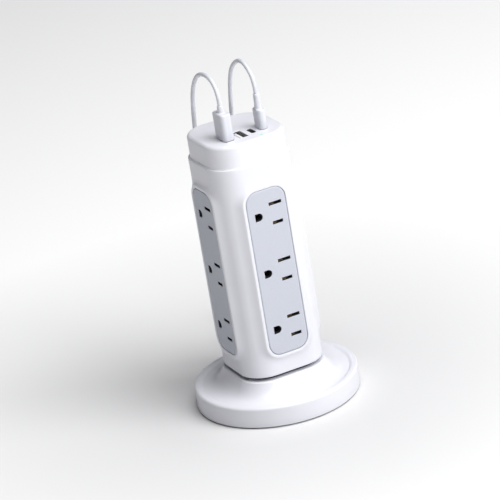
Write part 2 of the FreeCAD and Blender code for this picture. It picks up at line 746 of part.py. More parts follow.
def socket_shells(name, ports, wide, long, corner):
    """Metal tubes, closed at the bottom by a plastic floor, one per port."""
    body = new_body(name)
    walls = new_sketch(body, "XY_Plane", "board_top")
    for port in ports:
        rounded(walls, f"{wide} / 2", f"{long} / 2", corner, x=port, y="port_row")
        rounded(
            walls, f"{wide} / 2 - socket_wall", f"{long} / 2 - socket_wall", f"{corner} - socket_wall",
            x=port, y="port_row",
        )
    pad(walls, SOCKET_TALL)
    return body


def tongues(name, ports, wide, long, thick, shift, base_wide, base_long, corner):
    """The insulating tongue in each socket, with the block that it stands on."""
    body = new_body(name)
    base = new_sketch(body, "XY_Plane", "board_top")
    for port in ports:
        rounded(base, base_wide, base_long, corner, x=port, y="port_row")
    pad(base, "1.6")
    blades = new_sketch(body, "XY_Plane", "board_top + 1.6")
    for port in ports:
        rectangle(blades, f"{thick} / 2", f"{wide} / 2", x=f"{port} + ({shift})", y="port_row")
    pad(blades, f"{long} - 1.6")
    return body


def usb_sockets():
    node("usb_a_sockets", socket_shells("shells_a", PORTS_A, "port_a_wide", "port_a_long", "0.8"))
    node("usb_c_sockets", socket_shells("shells_c", PORTS_C, "port_c_wide", "port_c_long", "1.5"))
    gap = "(socket_wall + 0.05)"
    node("usb_a_tongues", tongues(
        "tongues_a", PORTS_A, "tongue_a_wide", f"{SOCKET_TALL} - 1.2", "tongue_a_thick", "-0.95",
        f"port_a_wide / 2 - {gap}", f"port_a_long / 2 - {gap}", "0.4",
    ))
    node("usb_c_tongues", tongues(
        "tongues_c", PORTS_C, "tongue_c_wide", f"{SOCKET_TALL} - 1.2", "tongue_c_thick", "0",
        f"port_c_wide / 2 - {gap}", f"port_c_long / 2 - {gap}", "1.0",
    ))


def board_parts():
    """What hangs under the USB board, the screws that hold it, and the light pipe."""
    under = "(board_top - board_thick)"
    block_core = block("transformer", ("-9", "5"), ("-8", "8"), (f"{under} - 11.5", under))
    node("usb_transformer", block_core)
    cans = [rod(f"can_{number}", "3.9", "12.5", (x, y, f"{under} - 12.5"))
            for number, (x, y) in enumerate((("12", "-9"), ("12", "0"), ("12", "9")))]
    node("usb_capacitors", joined("usb_cans", cans))
    screws = [screw(f"board_screw_{number}", f"{x} * boss_reach", f"{y} * boss_reach", under, "7",
                    shank="screw_radius - 0.5")
              for number, (x, y) in enumerate(SCREW_CORNERS)]
    node("board_screws", joined("board_screw_set", screws))
    node("status_light", rod("light_pipe", "light_radius", "cap_top - board_top",
                             ("light_across", "light_along", "board_top")))


def screw(name, x, y, seat, length, shank="screw_radius"):
    """A pan-head screw, head down, whose head seats upward against a face."""
    head = rod(name + "_head", "head_radius", "head_tall", (x, y, f"{seat} - head_tall"))
    stem = rod(name + "_stem", shank, f"{length} + head_tall / 2", (x, y, f"{seat} - head_tall / 2"))
    return joined(name, [head, stem])


# --------------------------------------------------------------------------------------------
# Base
# --------------------------------------------------------------------------------------------

RIM_INNER = "(base_radius - rim_round - rim_flat)"
DISH_OUTER = f"({RIM_INNER} - dish_width)"
DISH_HEIGHT = "(rim_height - dish_depth)"
PLATE_RADIUS = "(base_radius - base_wall - fit_gap)"
RISE_STEPS = (1.0, 0.72, 0.46, 0.22, 0.0)
RISE_POWER = 3.4


def base_shell():
    body = new_body("base_cover")
    # the round side, the rim and the dish inside it
    profile = outline(new_sketch(body, "XZ_Plane"), (
        ("0", "base_rise"), ("base_radius", "base_rise"),
        ("base_radius", "rim_height - rim_round", "rim_round"),
        ("base_radius - rim_round", "rim_height"), (RIM_INNER, "rim_height"),
        (DISH_OUTER, DISH_HEIGHT), ("0", DISH_HEIGHT),
    ))
    turn = body.newObject("PartDesign::Revolution", "base_turn")
    turn.Profile = profile
    turn.ReferenceAxis = (profile, ["V_Axis"])
    turn.Angle = 360
    # the rise from the round dish to the squarer pedestal
    sections = [rise_section(body, share) for share in RISE_STEPS]
    loft = body.newObject("PartDesign::AdditiveLoft", "base_rise_loft")
    loft.Profile = sections[0]
    loft.Sections = sections[1:]
    neck = rounded(new_sketch(body, "XY_Plane", "pedestal_top"), "neck_half", "neck_half", "neck_corner")
    pad(neck, "body_bottom - pedestal_top")
    # hollow underside, and the wire way and screw holes through the neck
    hollow = disc(new_sketch(body, "XY_Plane", "base_rise"), "base_radius - base_wall")
    pocket(hollow, f"{DISH_HEIGHT} - base_wall - base_rise", reverse=True)
    well = rounded(
        new_sketch(body, "XY_Plane", "base_rise"), "pedestal_half - base_wall", "pedestal_half - base_wall",
        "pedestal_corner - base_wall",
    )
    pocket(well, "pedestal_top - base_wall - base_rise", reverse=True)
    holes = disc(new_sketch(body, "XY_Plane", "body_bottom"), "wire_way")
    for x, y in SCREW_CORNERS:
        disc(holes, "screw_radius + fit_gap", f"{x} * tower_screw_reach", f"{y} * tower_screw_reach")
    pocket(holes, "body_bottom - pedestal_top + base_wall")
    posts = new_sketch(body, "XY_Plane", "base_rise + plate_thick")
    for place in around("post_circle"):
        disc(posts, "boss_radius", *place)
    pad(posts, f"{DISH_HEIGHT} - base_wall - base_rise - plate_thick + 0.5")
    pilots = new_sketch(body, "XY_Plane", "base_rise + plate_thick")
    for place in around("post_circle"):
        disc(pilots, "screw_radius - 0.5", *place)
    pocket(pilots, "6", reverse=True)
    through = [
        side_rod("gland_hole", "gland_radius + fit_gap", "base_radius - 6", "12", "gland_angle"),
        side_rod("button_hole", "button_radius + running_gap", "base_radius - 6", "12", "reset_angle"),
    ]
    node("base_shell", cut("base_shell_cut", body, through))


def rise_section(body, share):
    """One section of the rise: nearly round at the dish, squarer towards the pedestal."""
    half = f"(pedestal_half + ({DISH_OUTER} - pedestal_half) * {share})"
    flat = f"(pedestal_half - pedestal_corner) * {max(1 - share, 0.02)}"
    fall = round((1 - share) ** RISE_POWER, 5)
    height = f"{DISH_HEIGHT} - 0.2 + (pedestal_top - {DISH_HEIGHT} + 0.2) * {fall}"
    return rounded(new_sketch(body, "XY_Plane", height), half, half, f"{half} - {flat}")


def around(circle):
    """Four places on a circle, half way between the sides."""
    return [(f"{x} * {circle} / sqrt(2)", f"{y} * {circle} / sqrt(2)") for x, y in SCREW_CORNERS]


def along(angle):
    """The turn that lays an upright piece down along a direction from the axis."""
    return FreeCAD.Rotation(Vector(0, 0, 1), worth(angle)) * FreeCAD.Rotation(Vector(0, 1, 0), QUARTER)


def side_rod(name, radius, start, length, angle):
    """A cylinder that lies along a direction from the axis, at the height of the side's fittings."""
    at = (f"({start}) * cos({angle})", f"({start}) * sin({angle})", "side_height")
    return rod(name, radius, length, at, along(angle))


def base_plate():
    """The disc that closes the underside, with seats for the feet and screw holes."""
    body = new_body("bottom_plate")
    plate = disc(new_sketch(body, "XY_Plane", "base_rise"), PLATE_RADIUS)
    for place in around("post_circle"):
        disc(plate, "screw_radius", *place)
    pad(plate, "plate_thick")
    seats = new_sketch(body, "XY_Plane", "base_rise")
    for place in feet():
        disc(seats, "foot_radius + fit_gap", *place)
    pocket(seats, "foot_deep", reverse=True)
    sinks = new_sketch(body, "XY_Plane", "base_rise")
    for place in around("post_circle"):
        disc(sinks, "head_radius + fit_gap", *place)
    pocket(sinks, "flat_head_tall + 0.1", reverse=True)
    node("base_plate", body)


def feet():
    """Four places for the feet, evenly round the plate."""
    return [(f"foot_circle * cos({angle})", f"foot_circle * sin({angle})")
            for angle in (0, 90, 180, 270)]


def rubber_feet():
    pads = [rod(f"foot_{number}", "foot_radius", "base_rise + foot_deep", (*place, "0"))
            for number, place in enumerate(feet())]
    node("rubber_feet", joined("foot_set", pads))


PLATE_TOP = "(base_rise + plate_thick)"
BALLAST_TOP = "(base_rise + plate_thick + ballast_thick)"
WELL_TOP = "(pedestal_top - base_wall)"


def ballast():
    """The steel disc that weights the base."""
    at = ("0", "0", PLATE_TOP)
    node("ballast_disc", cut("ballast_cut", rod("ballast_blank", "ballast_outer", "ballast_thick", at),
                             [rod("ballast_eye", "ballast_inner", "ballast_thick", at)]))


def base_screws():
    """Four flat-headed screws that lie flush in the base plate, and four under the neck."""
    screws = []
    for number, (x, y) in enumerate(around("post_circle")):
        head = rod(f"base_head_{number}", "head_radius", "flat_head_tall", (x, y, "base_rise + 0.1"))
        stem = rod(f"base_stem_{number}", "screw_radius - 0.5", "plate_thick + 3",
                   (x, y, "base_rise + flat_head_tall / 2"))
        screws.append(joined(f"base_screw_{number}", [head, stem]))
    node("base_screws", joined("base_screw_set", screws))
    length = f"body_bottom + body_floor - {WELL_TOP}"
    screws = [screw(f"tower_screw_{number}", f"{x} * tower_screw_reach", f"{y} * tower_screw_reach",
                    WELL_TOP, length)
              for number, (x, y) in enumerate(SCREW_CORNERS)]
    node("tower_screws", joined("tower_screw_set", screws))


# --------------------------------------------------------------------------------------------
# Mains side: gland, breaker with its reset button, surge board and wires
# --------------------------------------------------------------------------------------------

WALL_INSIDE = "(base_radius - base_wall)"


def cord_gland():
    """The sleeve that the mains cord comes in through, with a flange inside and out."""
    long = "(base_wall + gland_out + 3.4)"
    barrel = side_rod("gland_barrel", "gland_radius", f"base_radius + gland_out - {long}", long,
                      "gland_angle")
    collar = side_rod("gland_collar", "gland_radius + 1", "base_radius + 0.4", "1.4", "gland_angle")
    clamp = cut("gland_clamp", block_along("gland_nut", "gland_angle", f"({WALL_INSIDE} - 3.2)",
                                           f"({WALL_INSIDE} - 0.6)", "6.4", f"{PLATE_TOP}", "10.8"), [
        side_rod("gland_nut_bore", "gland_radius", f"{WALL_INSIDE} - 4", "5", "gland_angle")])
    bore = side_rod("gland_bore_rod", "gland_bore", "base_radius - 12", "24", "gland_angle")
    node("cord_gland", cut("gland_bored", joined("gland_body", [barrel, collar, clamp]), [bore]))


def block_along(name, angle, start, end, half, low, high):
    """A box along a direction from the axis, from start to end, that wide and from low to high."""
    box = doc.addObject("Part::Box", name)
    box.Placement.Rotation = FreeCAD.Rotation(Vector(0, 0, 1), worth(angle))
    return bind(
        box, Length=f"{end} - ({start})", Width=f"2 * ({half})", Height=f"({high}) - ({low})",
        Placement__Base__x=f"({start}) * cos({angle}) + ({half}) * sin({angle})",
        Placement__Base__y=f"({start}) * sin({angle}) - ({half}) * cos({angle})",
        Placement__Base__z=low,
    )


def breaker():
    """The circuit breaker, the button that resets it and the button's return spring."""
    front = f"({WALL_INSIDE} - 0.9)"
    stop = f"({WALL_INSIDE} - 0.2 - flange_stop)"
    case = block_along("breaker_block", "reset_angle", f"({front} - breaker_deep)", front,
                       "breaker_wide / 2", PLATE_TOP, f"({PLATE_TOP} + breaker_tall)")
    seat = f"({front} - breaker_bore)"
    bore = side_rod("breaker_bore_rod", "button_radius + button_flange + running_gap", seat,
                    "breaker_bore + 1", "reset_angle")
    node("breaker_case", cut("breaker_bored", case, [bore]))
    # the button reaches from the spring to its cap outside
    back = f"({seat} + 2 * button_travel)"
    stem = side_rod("button_stem", "button_radius", back, f"base_radius + button_out - {back}",
                    "reset_angle")
    flange = side_rod("button_flange_disc", "button_radius + button_flange", f"{stop} - 1.2", "1.2",
                      "reset_angle")
    node("reset_button", joined("button_whole", [stem, flange]))
    turns = 5
    rings = []
    for number in range(turns):
        reach = f"({seat} + spring_wire + (2 * button_travel - 2 * spring_wire) * {number} / {turns - 1})"
        ring = doc.addObject("Part::Torus", f"spring_ring_{number}")
        ring.Placement.Rotation = along("reset_angle")
        rings.append(bind(
            ring, Radius1="button_radius - 1", Radius2="spring_wire", Placement__Base__z="side_height",
            Placement__Base__x=f"{reach} * cos(reset_angle)",
            Placement__Base__y=f"{reach} * sin(reset_angle)",
        ))
    node("reset_spring", joined("spring_rings", rings))


def surge_board():
    """The board with the surge parts, on spacers over the ballast."""
    low_x, high_x = "-(surge_wide / 2)", "surge_wide / 2"
    low_y, high_y = "surge_front", "surge_front + surge_long"
    under = "(surge_height - board_thick)"
    node("surge_board", block("surge_plate", (low_x, high_x), (low_y, high_y), (under, "surge_height")))
    spacers = [rod(f"spacer_{x}_{y}".replace("-", "m"), "2", f"{under} - {BALLAST_TOP}",
                   (f"{x} * (surge_wide / 2 - 3)",
                    f"surge_front + surge_long / 2 + {y} * (surge_long / 2 - 3)", BALLAST_TOP))
               for x, y in SCREW_CORNERS]
    node("board_spacers", joined("spacer_set", spacers))
    lying = FreeCAD.Rotation(Vector(1, 0, 0), -QUARTER)
    discs = [rod(f"varistor_{number}", "varistor_radius", "3.6",
                 (f"{number - 1} * (2 * varistor_radius + 1)", "surge_front + surge_long - 4.6",
                  "surge_height + varistor_radius"), lying)
             for number in range(3)]
    node("varistors", joined("varistor_set", discs))
    node("filter_capacitor", block("filter_box", ("-7", "7"), ("surge_front + 0.8", "surge_front + 6.8"),
                                   ("surge_height", "surge_height + 7.4")))
    node("thermal_fuse", rod("fuse_can", "1.6", "6.5", ("11.5", "surge_front + 4", "surge_height")))


def bent_tube(name, points, radius, report=False):
    """A tube of straight runs joined by arcs as large as their runs allow."""
    runs = [b - a for a, b in zip(points, points[1:])]
    edges, at, radii = [], points[0], []
    for before, after, corner in zip(runs, runs[1:], points[1:]):
        turn = before.getAngle(after)
        back = 0.45 * min(before.Length, after.Length)
        start = corner - Vector(before).normalize() * back
        end = corner + Vector(after).normalize() * back
        bulge = back / math.tan(turn / 2)
        radii.append(bulge)
        towards = (start + end) * 0.5 - corner
        centre = corner + towards.normalize() * math.hypot(back, bulge)
        middle = centre + (corner - centre).normalize() * bulge
        edges += [Part.LineSegment(at, start).toShape(), Part.Arc(start, middle, end).toShape()]
        at = end
    edges.append(Part.LineSegment(at, points[-1]).toShape())
    path = Part.Wire(edges)
    section = Part.Wire([Part.Circle(points[0], runs[0], radius).toShape()])
    item = doc.addObject("Part::Feature", name)
    item.Shape = path.makePipeShell([section], True, False)
    true_volume = math.pi * radius ** 2 * path.Length
    if abs(item.Shape.Volume / true_volume - 1) > 0.01:
        raise RuntimeError(f"{name}: the tube's volume is wrong")
    if report:
        print(name, "length", round(path.Length, 1), "radii", [round(r, 1) for r in radii],
              "runs", [round(r.Length, 1) for r in runs])
    return item


def beside(angle, reach, aside, height):
    """A point at a reach along a direction from the axis, moved aside to its left."""
    turn = math.radians(worth(angle))
    reach, aside = worth(reach), worth(aside)
    return Vector(reach * math.cos(turn) - aside * math.sin(turn),
                  reach * math.sin(turn) + aside * math.cos(turn), worth(height))


def wires():
    """The wires from the gland and the breaker up to the USB board, and the ring wires that
    link the bus strips of the four sides."""
    radius = worth("wire_radius")
    top = "board_top - board_thick - 11.5"
    start = "base_radius - base_wall - 4.2"
    for name, aside in (("neutral_wire", "wire_radius + 0.4"), ("ground_wire", "-(wire_radius) - 0.4")):
        node(name, bent_tube(name + "_tube", [
            beside("gland_angle", start, aside, "side_height"),
            beside("gland_angle", f"{start} - 8", aside, "wire_height"),
            beside("gland_angle", "wire_reach", aside, "wire_height"),
            beside("gland_angle", "wire_reach", aside, top),
        ], radius))
    inner = "base_radius - base_wall - 0.9 - breaker_deep"
    node("line_wire", bent_tube("line_wire_tube", [
        beside("reset_angle", inner, "0", "wire_height"),
        beside("reset_angle", "wire_reach", "0", "wire_height"),
        beside("reset_angle", "wire_reach", "0", top),
    ], radius))
    node("feed_wire", bent_tube("feed_wire_tube", [
        beside("gland_angle", start, "-(wire_radius) - 0.4 - 3", "side_height"),
        beside("gland_angle", f"{start} - 5", "-9", "side_height"),
        beside("gland_angle - 34", f"{start} - 6", "0", "side_height"),
        beside("reset_angle", f"{inner} + 5", "breaker_wide / 2 + 10", "side_height"),
        beside("reset_angle", f"{inner} + 5", "breaker_wide / 2", "side_height"),
    ], radius))
    rings = [link_ring(f"link_ring_{number}", f"panel_middle + carrier_tall / 2 + {number} * 2.05 + 1")
             for number in range(3)]
    node("bus_links", joined("link_rings", rings))


def link_ring(name, height):
    """A square ring of insulated wire that passes behind the strips of all four sides."""
    body = new_body(name)
    half = f"({STRIP_FRONT_REACH} - link_radius - 0.05)"
    path = rounded(new_sketch(body, "XY_Plane", height), half, half, "3")
    ring = body.newObject("PartDesign::AdditivePipe", name + "_pipe")
    section = disc(new_sketch(body, "XZ_Plane"), "link_radius", half, height)
    ring.Profile = section
    ring.Spine = (path, ["Edge" + str(number) for number in range(1, 9)])
    return body


STRIP_FRONT_REACH = f"({CARRIER_BACK} + bus_back)"


# --------------------------------------------------------------------------------------------
# USB leads: plug, cord, coil of the length that is put away, and the connector at its end
# --------------------------------------------------------------------------------------------

PLUG_FOOT = "(cap_top + plug_gap)"
FLOOR_LINE = "lead_radius + 0.1"

# Where each lead goes from its strain relief, over the back of the tower and down to the floor
# behind it. The first two points follow from the plug, and the last one from the coil.
LEAD_A_ROUTE = (
    (-11.6, -5.0, 217.8), (-11.5, 5.5, 219.8), (-11.4, 18.5, 216.0), (-11.2, 29.0, 204.5),
    (-11.1, 34.5, 188.0), (-10.8, 38.3, 169.0), (-10.2, 43.2, 139.0), (-8.8, 48.6, 105.0),
    (-6.2, 54.4, 71.0), (-2.6, 60.2, 40.0), (1.4, 65.4, 16.0),
)
LEAD_C_ROUTE = (
    (13.7, -5.6, 217.6), (14.0, 4.5, 221.6), (14.2, 14.5, 218.6), (14.3, 24.0, 211.0),
    (14.4, 29.5, 199.0), (14.5, 33.0, 186.0), (14.6, 37.4, 168.0), (14.7, 42.4, 141.0),
    (14.5, 47.4, 109.0), (14.1, 52.2, 76.0), (13.5, 56.8, 45.0), (12.8, 60.6, 19.0),
)


def plug(kind, port, socket_wide, socket_long, corner, blade_round):
    """A moulded grip with a tapered strain relief and the metal shell that is in the socket."""
    size = f"plug_{kind}"
    body = new_body(f"{size}_grip")
    grip = rounded(
        new_sketch(body, "XY_Plane", PLUG_FOOT), f"{size}_wide / 2", f"{size}_long / 2", corner,
        x=port, y="port_row",
    )
    pad(grip, f"{size}_tall")
    top = f"({PLUG_FOOT} + {size}_tall)"
    round_edges(body, "0.6", level(top))
    relief = doc.addObject("Part::Cone", f"{size}_relief")
    bind(relief, Radius1="lead_radius + 0.9", Radius2="lead_radius + 0.15", Height=f"{size}_relief",
         Placement__Base__x=port, Placement__Base__y="port_row", Placement__Base__z=top)
    shell = new_body(f"{size}_shell")
    wall = "(socket_wall + 0.2)"
    outer = new_sketch(shell, "XY_Plane", f"cap_top - blade_{kind}_deep")
    rounded(outer, f"{socket_wide} / 2 - {wall}", f"{socket_long} / 2 - {wall}", blade_round,
            x=port, y="port_row")
    rounded(outer, f"{socket_wide} / 2 - {wall} - 0.3", f"{socket_long} / 2 - {wall} - 0.3",
            f"{blade_round} - 0.3", x=port, y="port_row")
    pad(outer, f"blade_{kind}_deep - 1.2")
    neck = rounded(new_sketch(shell, "XY_Plane", "cap_top - 1.2"), f"{socket_wide} / 2 - {wall}",
                   f"{socket_long} / 2 - {wall}", blade_round, x=port, y="port_row")
    pad(neck, "plug_gap + 1.2")
    node(f"usb_{kind}_plug", joined(f"{size}_whole", [body, relief, shell]))


def leads():
    plug("a", "port_a_used", "port_a_wide", "port_a_long", "plug_a_corner", "0.5")
    plug("c", "port_c_used", "port_c_wide", "port_c_long", "plug_c_corner", "1.0")
    radius = worth("lead_radius")
    for kind, port, route in (("a", "port_a_used", LEAD_A_ROUTE), ("c", "port_c_used", LEAD_C_ROUTE)):
        start = Vector(worth(port), worth("port_row"),
                       worth(f"{PLUG_FOOT} + plug_{kind}_tall + plug_{kind}_relief"))
        across, along = worth(f"coil_{kind}_across"), worth(f"coil_{kind}_along")
        floor = worth(FLOOR_LINE)
        points = [start, start + Vector(0, 0, 7.4)] + [Vector(*point) for point in route]
        points += floor_points(kind, across, along, floor)
        node(f"usb_{kind}_cord", bent_tube(f"lead_{kind}_tube", points, radius, report=True))
        outer = rod(f"coil_{kind}_outer", "coil_radius + coil_band / 2", "coil_tall",
                    (f"coil_{kind}_across", f"coil_{kind}_along", "0.05"))
        inner = rod(f"coil_{kind}_inner", "coil_radius - coil_band / 2", "coil_tall",
                    (f"coil_{kind}_across", f"coil_{kind}_along", "0.05"))
        node(f"usb_{kind}_coil", cut(f"coil_{kind}_ring", outer, [inner]))
        far_connector(kind)


def floor_points(kind, across, along, floor):
    """The last points of a lead, which lies on the floor and runs into its coil."""
    if kind == "c":
        return [Vector(12.9, 66.4, floor), Vector(across - 15.4, along + 6.0, floor)]
    return [Vector(4.2, 69.0, floor), Vector(9.4, 87.6, floor), Vector(20.4, 106.4, floor),
            Vector(across - 12.6, along + 8.4, floor)]


def far_connector(kind):
    """The connector on the lead's far end, which lies on top of the coil."""
    low = "(coil_tall + 0.3)"
    x, y = f"coil_{kind}_across", f"coil_{kind}_along"
    body = new_body(f"end_{kind}_grip")
    grip = rounded(new_sketch(body, "XY_Plane", low), "5.5", "10", "2.4", x=f"{x} - 8", y=y)
    pad(grip, "5.4")
    tongue = new_body(f"end_{kind}_tip")
    tip = rounded(new_sketch(tongue, "XZ_Plane", f"-({y}) - 9.5"), "4.15", "1.2", "1.1", x=f"{x} - 8",
                  y=f"{low} + 2.7")
    pad(tip, "7", reverse=True)
    relief = doc.addObject("Part::Cone", f"end_{kind}_relief")
    relief.Placement.Rotation = FreeCAD.Rotation(Vector(1, 0, 0), QUARTER)
    bind(relief, Radius1="lead_radius + 0.9", Radius2="lead_radius + 0.15", Height="8",
         Placement__Base__x=f"{x} - 8", Placement__Base__y=f"{y} - 9.5", Placement__Base__z=f"{low} + 2.7")
    node(f"usb_{kind}_far_plug", joined(f"end_{kind}_whole", [body, tongue, relief]))


# --------------------------------------------------------------------------------------------
# Build, check and write
# --------------------------------------------------------------------------------------------


def build():
    tower_body()
    for number, side in enumerate(SIDES):
        outlet_panel(side, number * QUARTER)
        contact_carrier(side, number * QUARTER)
        for kind in ("line", "neutral", "ground"):
            bus_strip(kind, side, number * QUARTER)
    core_sleeve()
    top_cap()
    usb_board()
    usb_sockets()
    board_parts()
    base_shell()
    base_plate()
    rubber_feet()
    ballast()
    base_screws()
    cord_gland()
    breaker()
    surge_board()
    wires()
    leads()


def check():
    """Stop if anything failed, so that no file is written from a broken model."""
    broken = [item.Name for item in doc.Objects
              if "Invalid" in item.State or "Error" in item.State]
    broken += [name for name, item in NODES.items() if item.Shape.isNull() or not item.Shape.isValid()]
    if broken:
        raise RuntimeError("not built: " + ", ".join(broken))


build()
doc.recompute()
check()
for name, item in NODES.items():
    item.Shape.exportStep(f"parts/{name}.step")
print(len(NODES), "nodes")
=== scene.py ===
"""The looks of the tower power strip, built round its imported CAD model.

Blender works in metres, and so do the camera, the lights and the sizes in materials. The sizes of
pieces are written in millimetres and multiplied by MM, at the latest where a shape is made.
"""
import json
import math

import bmesh
import bpy
from mathutils import Matrix, Vector


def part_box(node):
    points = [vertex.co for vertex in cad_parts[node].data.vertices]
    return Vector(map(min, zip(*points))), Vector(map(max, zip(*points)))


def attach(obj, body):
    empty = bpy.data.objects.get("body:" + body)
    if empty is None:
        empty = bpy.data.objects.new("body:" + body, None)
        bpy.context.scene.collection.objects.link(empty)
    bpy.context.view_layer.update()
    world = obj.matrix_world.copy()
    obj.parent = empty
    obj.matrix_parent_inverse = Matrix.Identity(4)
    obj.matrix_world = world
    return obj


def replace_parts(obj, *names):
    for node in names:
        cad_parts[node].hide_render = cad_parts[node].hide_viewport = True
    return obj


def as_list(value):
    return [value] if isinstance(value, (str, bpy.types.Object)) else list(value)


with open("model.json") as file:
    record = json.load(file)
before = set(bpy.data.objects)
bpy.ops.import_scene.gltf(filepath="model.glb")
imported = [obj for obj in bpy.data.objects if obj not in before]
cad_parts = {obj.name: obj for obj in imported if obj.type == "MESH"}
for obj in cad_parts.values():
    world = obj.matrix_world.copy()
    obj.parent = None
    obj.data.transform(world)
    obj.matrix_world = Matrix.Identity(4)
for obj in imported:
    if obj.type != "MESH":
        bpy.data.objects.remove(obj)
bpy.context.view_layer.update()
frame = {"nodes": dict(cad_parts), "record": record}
MM = 0.001
SIDES = ("front", "right", "rear", "left")


def placed(name, data):
    """A new object of the scene."""
    made = bpy.data.objects.new(name, data)
    bpy.context.scene.collection.objects.link(made)
    return made


# ----------------------------------------
# Camera
# ----------------------------------------

VIEW_AZIMUTH, VIEW_ELEVATION, VIEW_ROLL = (math.radians(angle) for angle in (-22.88, 21.56, -9.61))
VIEW_DISTANCE = 2.0074
VIEW_LENS = 229.7
SENSOR_WIDTH = 36
# the point looked at: a height on the axis, then a step to the right and up in the picture
AIM_HEIGHT = 0.09407
AIM_ASIDE, AIM_UP = -0.00305, 0.00571


def make_camera():
    """A long lens, turned about the axis, raised and rolled a little."""
    back = Vector((
        math.sin(VIEW_AZIMUTH) * math.cos(VIEW_ELEVATION),
        -math.cos(VIEW_AZIMUTH) * math.cos(VIEW_ELEVATION),
        math.sin(VIEW_ELEVATION),
    ))
    right = (-back).cross(Vector((0, 0, 1))).normalized()
    up = right.cross(-back)
    level, tilt = math.cos(VIEW_ROLL), math.sin(VIEW_ROLL)
    across = right * level + up * tilt
    upward = up * level - right * tilt
    place = back * VIEW_DISTANCE + right * AIM_ASIDE + up * AIM_UP + Vector((0, 0, AIM_HEIGHT))
    data = bpy.data.cameras.new("camera")
    data.lens = VIEW_LENS
    data.sensor_width = SENSOR_WIDTH
    camera = placed("camera", data)
    turn = Matrix((across, upward, back)).transposed().to_4x4()
    camera.matrix_world = Matrix.Translation(place) @ turn
    bpy.context.scene.camera = camera


make_camera()

# ----------------------------------------
# Materials
# ----------------------------------------


class Look:
    """A procedural material: a Principled shader and the texture nodes that feed it."""

    def __init__(self, name, colour, roughness, **sockets):
        self.material = bpy.data.materials.new(name)
        self.material.use_nodes = True
        self.tree = self.material.node_tree
        self.shader = self.tree.nodes["Principled BSDF"]
        self.shader.inputs["Base Color"].default_value = (*colour, 1)
        self.shader.inputs["Roughness"].default_value = roughness
        for socket, value in sockets.items():
            self.shader.inputs[socket.replace("_", " ")].default_value = value
        self.place = self.node("TexCoord").outputs["Object"]
        self.normal = None

    def link(self, output, node, socket):
        """Join an output to a node's socket."""
        self.tree.links.new(output, node.inputs[socket])

    def node(self, kind, **values):
        """A new node, with those values on its sockets."""
        made = self.tree.nodes.new(f"ShaderNode{kind}")
        for socket, value in values.items():
            made.inputs[socket].default_value = value
        return made

    def stretched(self, scale):
        """The place, stretched along each axis."""
        mapping = self.node("Mapping", Scale=scale)
        self.link(self.place, mapping, "Vector")
        return mapping.outputs["Vector"]

    def noise(self, size, detail, stretch=None):
        """Noise whose features are about size metres across."""
        node = self.node("TexNoise", Scale=1 / size, Detail=detail)
        self.link(self.stretched(stretch) if stretch else self.place, node, "Vector")
        return node.outputs["Fac"]

    def grains(self, size):
        """Cells about size metres across, dark at their middles."""
        node = self.node("TexVoronoi", Scale=1 / size)
        self.link(self.place, node, "Vector")
        return node.outputs["Distance"]

    def stripes(self, size, axis, distortion):
        """Wavy bands that follow one another every size metres or so along an axis."""
        node = self.node("TexWave", Scale=2 / (size * math.tau), Distortion=distortion)
        node.bands_direction = axis
        self.link(self.place, node, "Vector")
        return node.outputs["Fac"]

    def spread(self, value, low, high, from_low=0.3, from_high=0.7):
        """A value stretched to low and high from its usual range, which is that of noise."""
        limits = {"From Min": from_low, "From Max": from_high, "To Min": low, "To Max": high}
        node = self.node("MapRange", **limits)
        self.link(value, node, "Value")
        return node.outputs["Result"]

    def distance(self):
        """Distance from the object's origin."""
        node = self.node("VectorMath")
        node.operation = "LENGTH"
        self.link(self.place, node, "Vector")
        return node.outputs["Value"]

    def colours(self, value, low, high, from_low=0.3, from_high=0.7):
        """Base colour that runs from low to high with a value."""
        node = self.node("Mix")
        node.data_type = "RGBA"
        node.inputs["A"].default_value = (*low, 1)
        node.inputs["B"].default_value = (*high, 1)
        self.link(self.spread(value, 0, 1, from_low, from_high), node, "Factor")
        self.link(node.outputs["Result"], self.shader, "Base Color")

    def rough(self, value, low, high):
        """Roughness that runs from low to high with a value."""
        self.link(self.spread(value, low, high), self.shader, "Roughness")

    def bump(self, value, distance, strength=1.0):
        """Relief of that depth in metres, on top of any relief before it."""
        node = self.node("Bump", Distance=distance, Strength=strength)
        self.link(value, node, "Height")
        if self.normal:
            self.link(self.normal, node, "Normal")
        self.normal = node.outputs["Normal"]
        self.link(self.normal, self.shader, "Normal")


def tint(colour, share):
    """The colour made darker or lighter by a share."""
    return tuple(channel * share for channel in colour)


def moulded(name, colour, roughness, grain, depth):
    """Moulded plastic: fine grain, faint flow marks and a little variation in gloss."""
    look = Look(name, colour, roughness)
    look.colours(look.noise(0.02, 4), tint(colour, 0.985), tint(colour, 1.015))
    look.rough(look.noise(0.025, 4), roughness - 0.02, roughness + 0.02)
    look.bump(look.noise(grain, 2), depth)
    return look.material


def brushed(name, colour, roughness, stretch):
    """Plated or brushed metal, with fine lines along one axis."""
    look = Look(name, colour, roughness, Metallic=1.0)
    lines = look.noise(0.0006, 4, stretch)
    look.colours(look.noise(0.004, 3), tint(colour, 0.9), tint(colour, 1.05))
    look.rough(lines, roughness - 0.08, roughness + 0.1)
    look.bump(lines, 0.00001)
    return look.material


WHITE = (0.75, 0.754, 0.805)
LEAD_WHITE = (0.67, 0.68, 0.735)
PANEL_GREY = (0.53, 0.55, 0.615)


def panel_grey():
    """Spark-textured blue-grey plastic."""
    look = Look("panel_grey_plastic", PANEL_GREY, 0.56, Specular_IOR_Level=0.25)
    look.colours(look.noise(0.0008, 3), tint(PANEL_GREY, 0.97), tint(PANEL_GREY, 1.03))
    look.rough(look.noise(0.005, 4), 0.5, 0.62)
    look.bump(look.grains(0.0005), 0.00002, 0.7)
    look.bump(look.noise(0.0004, 3), 0.000015)
    return look.material


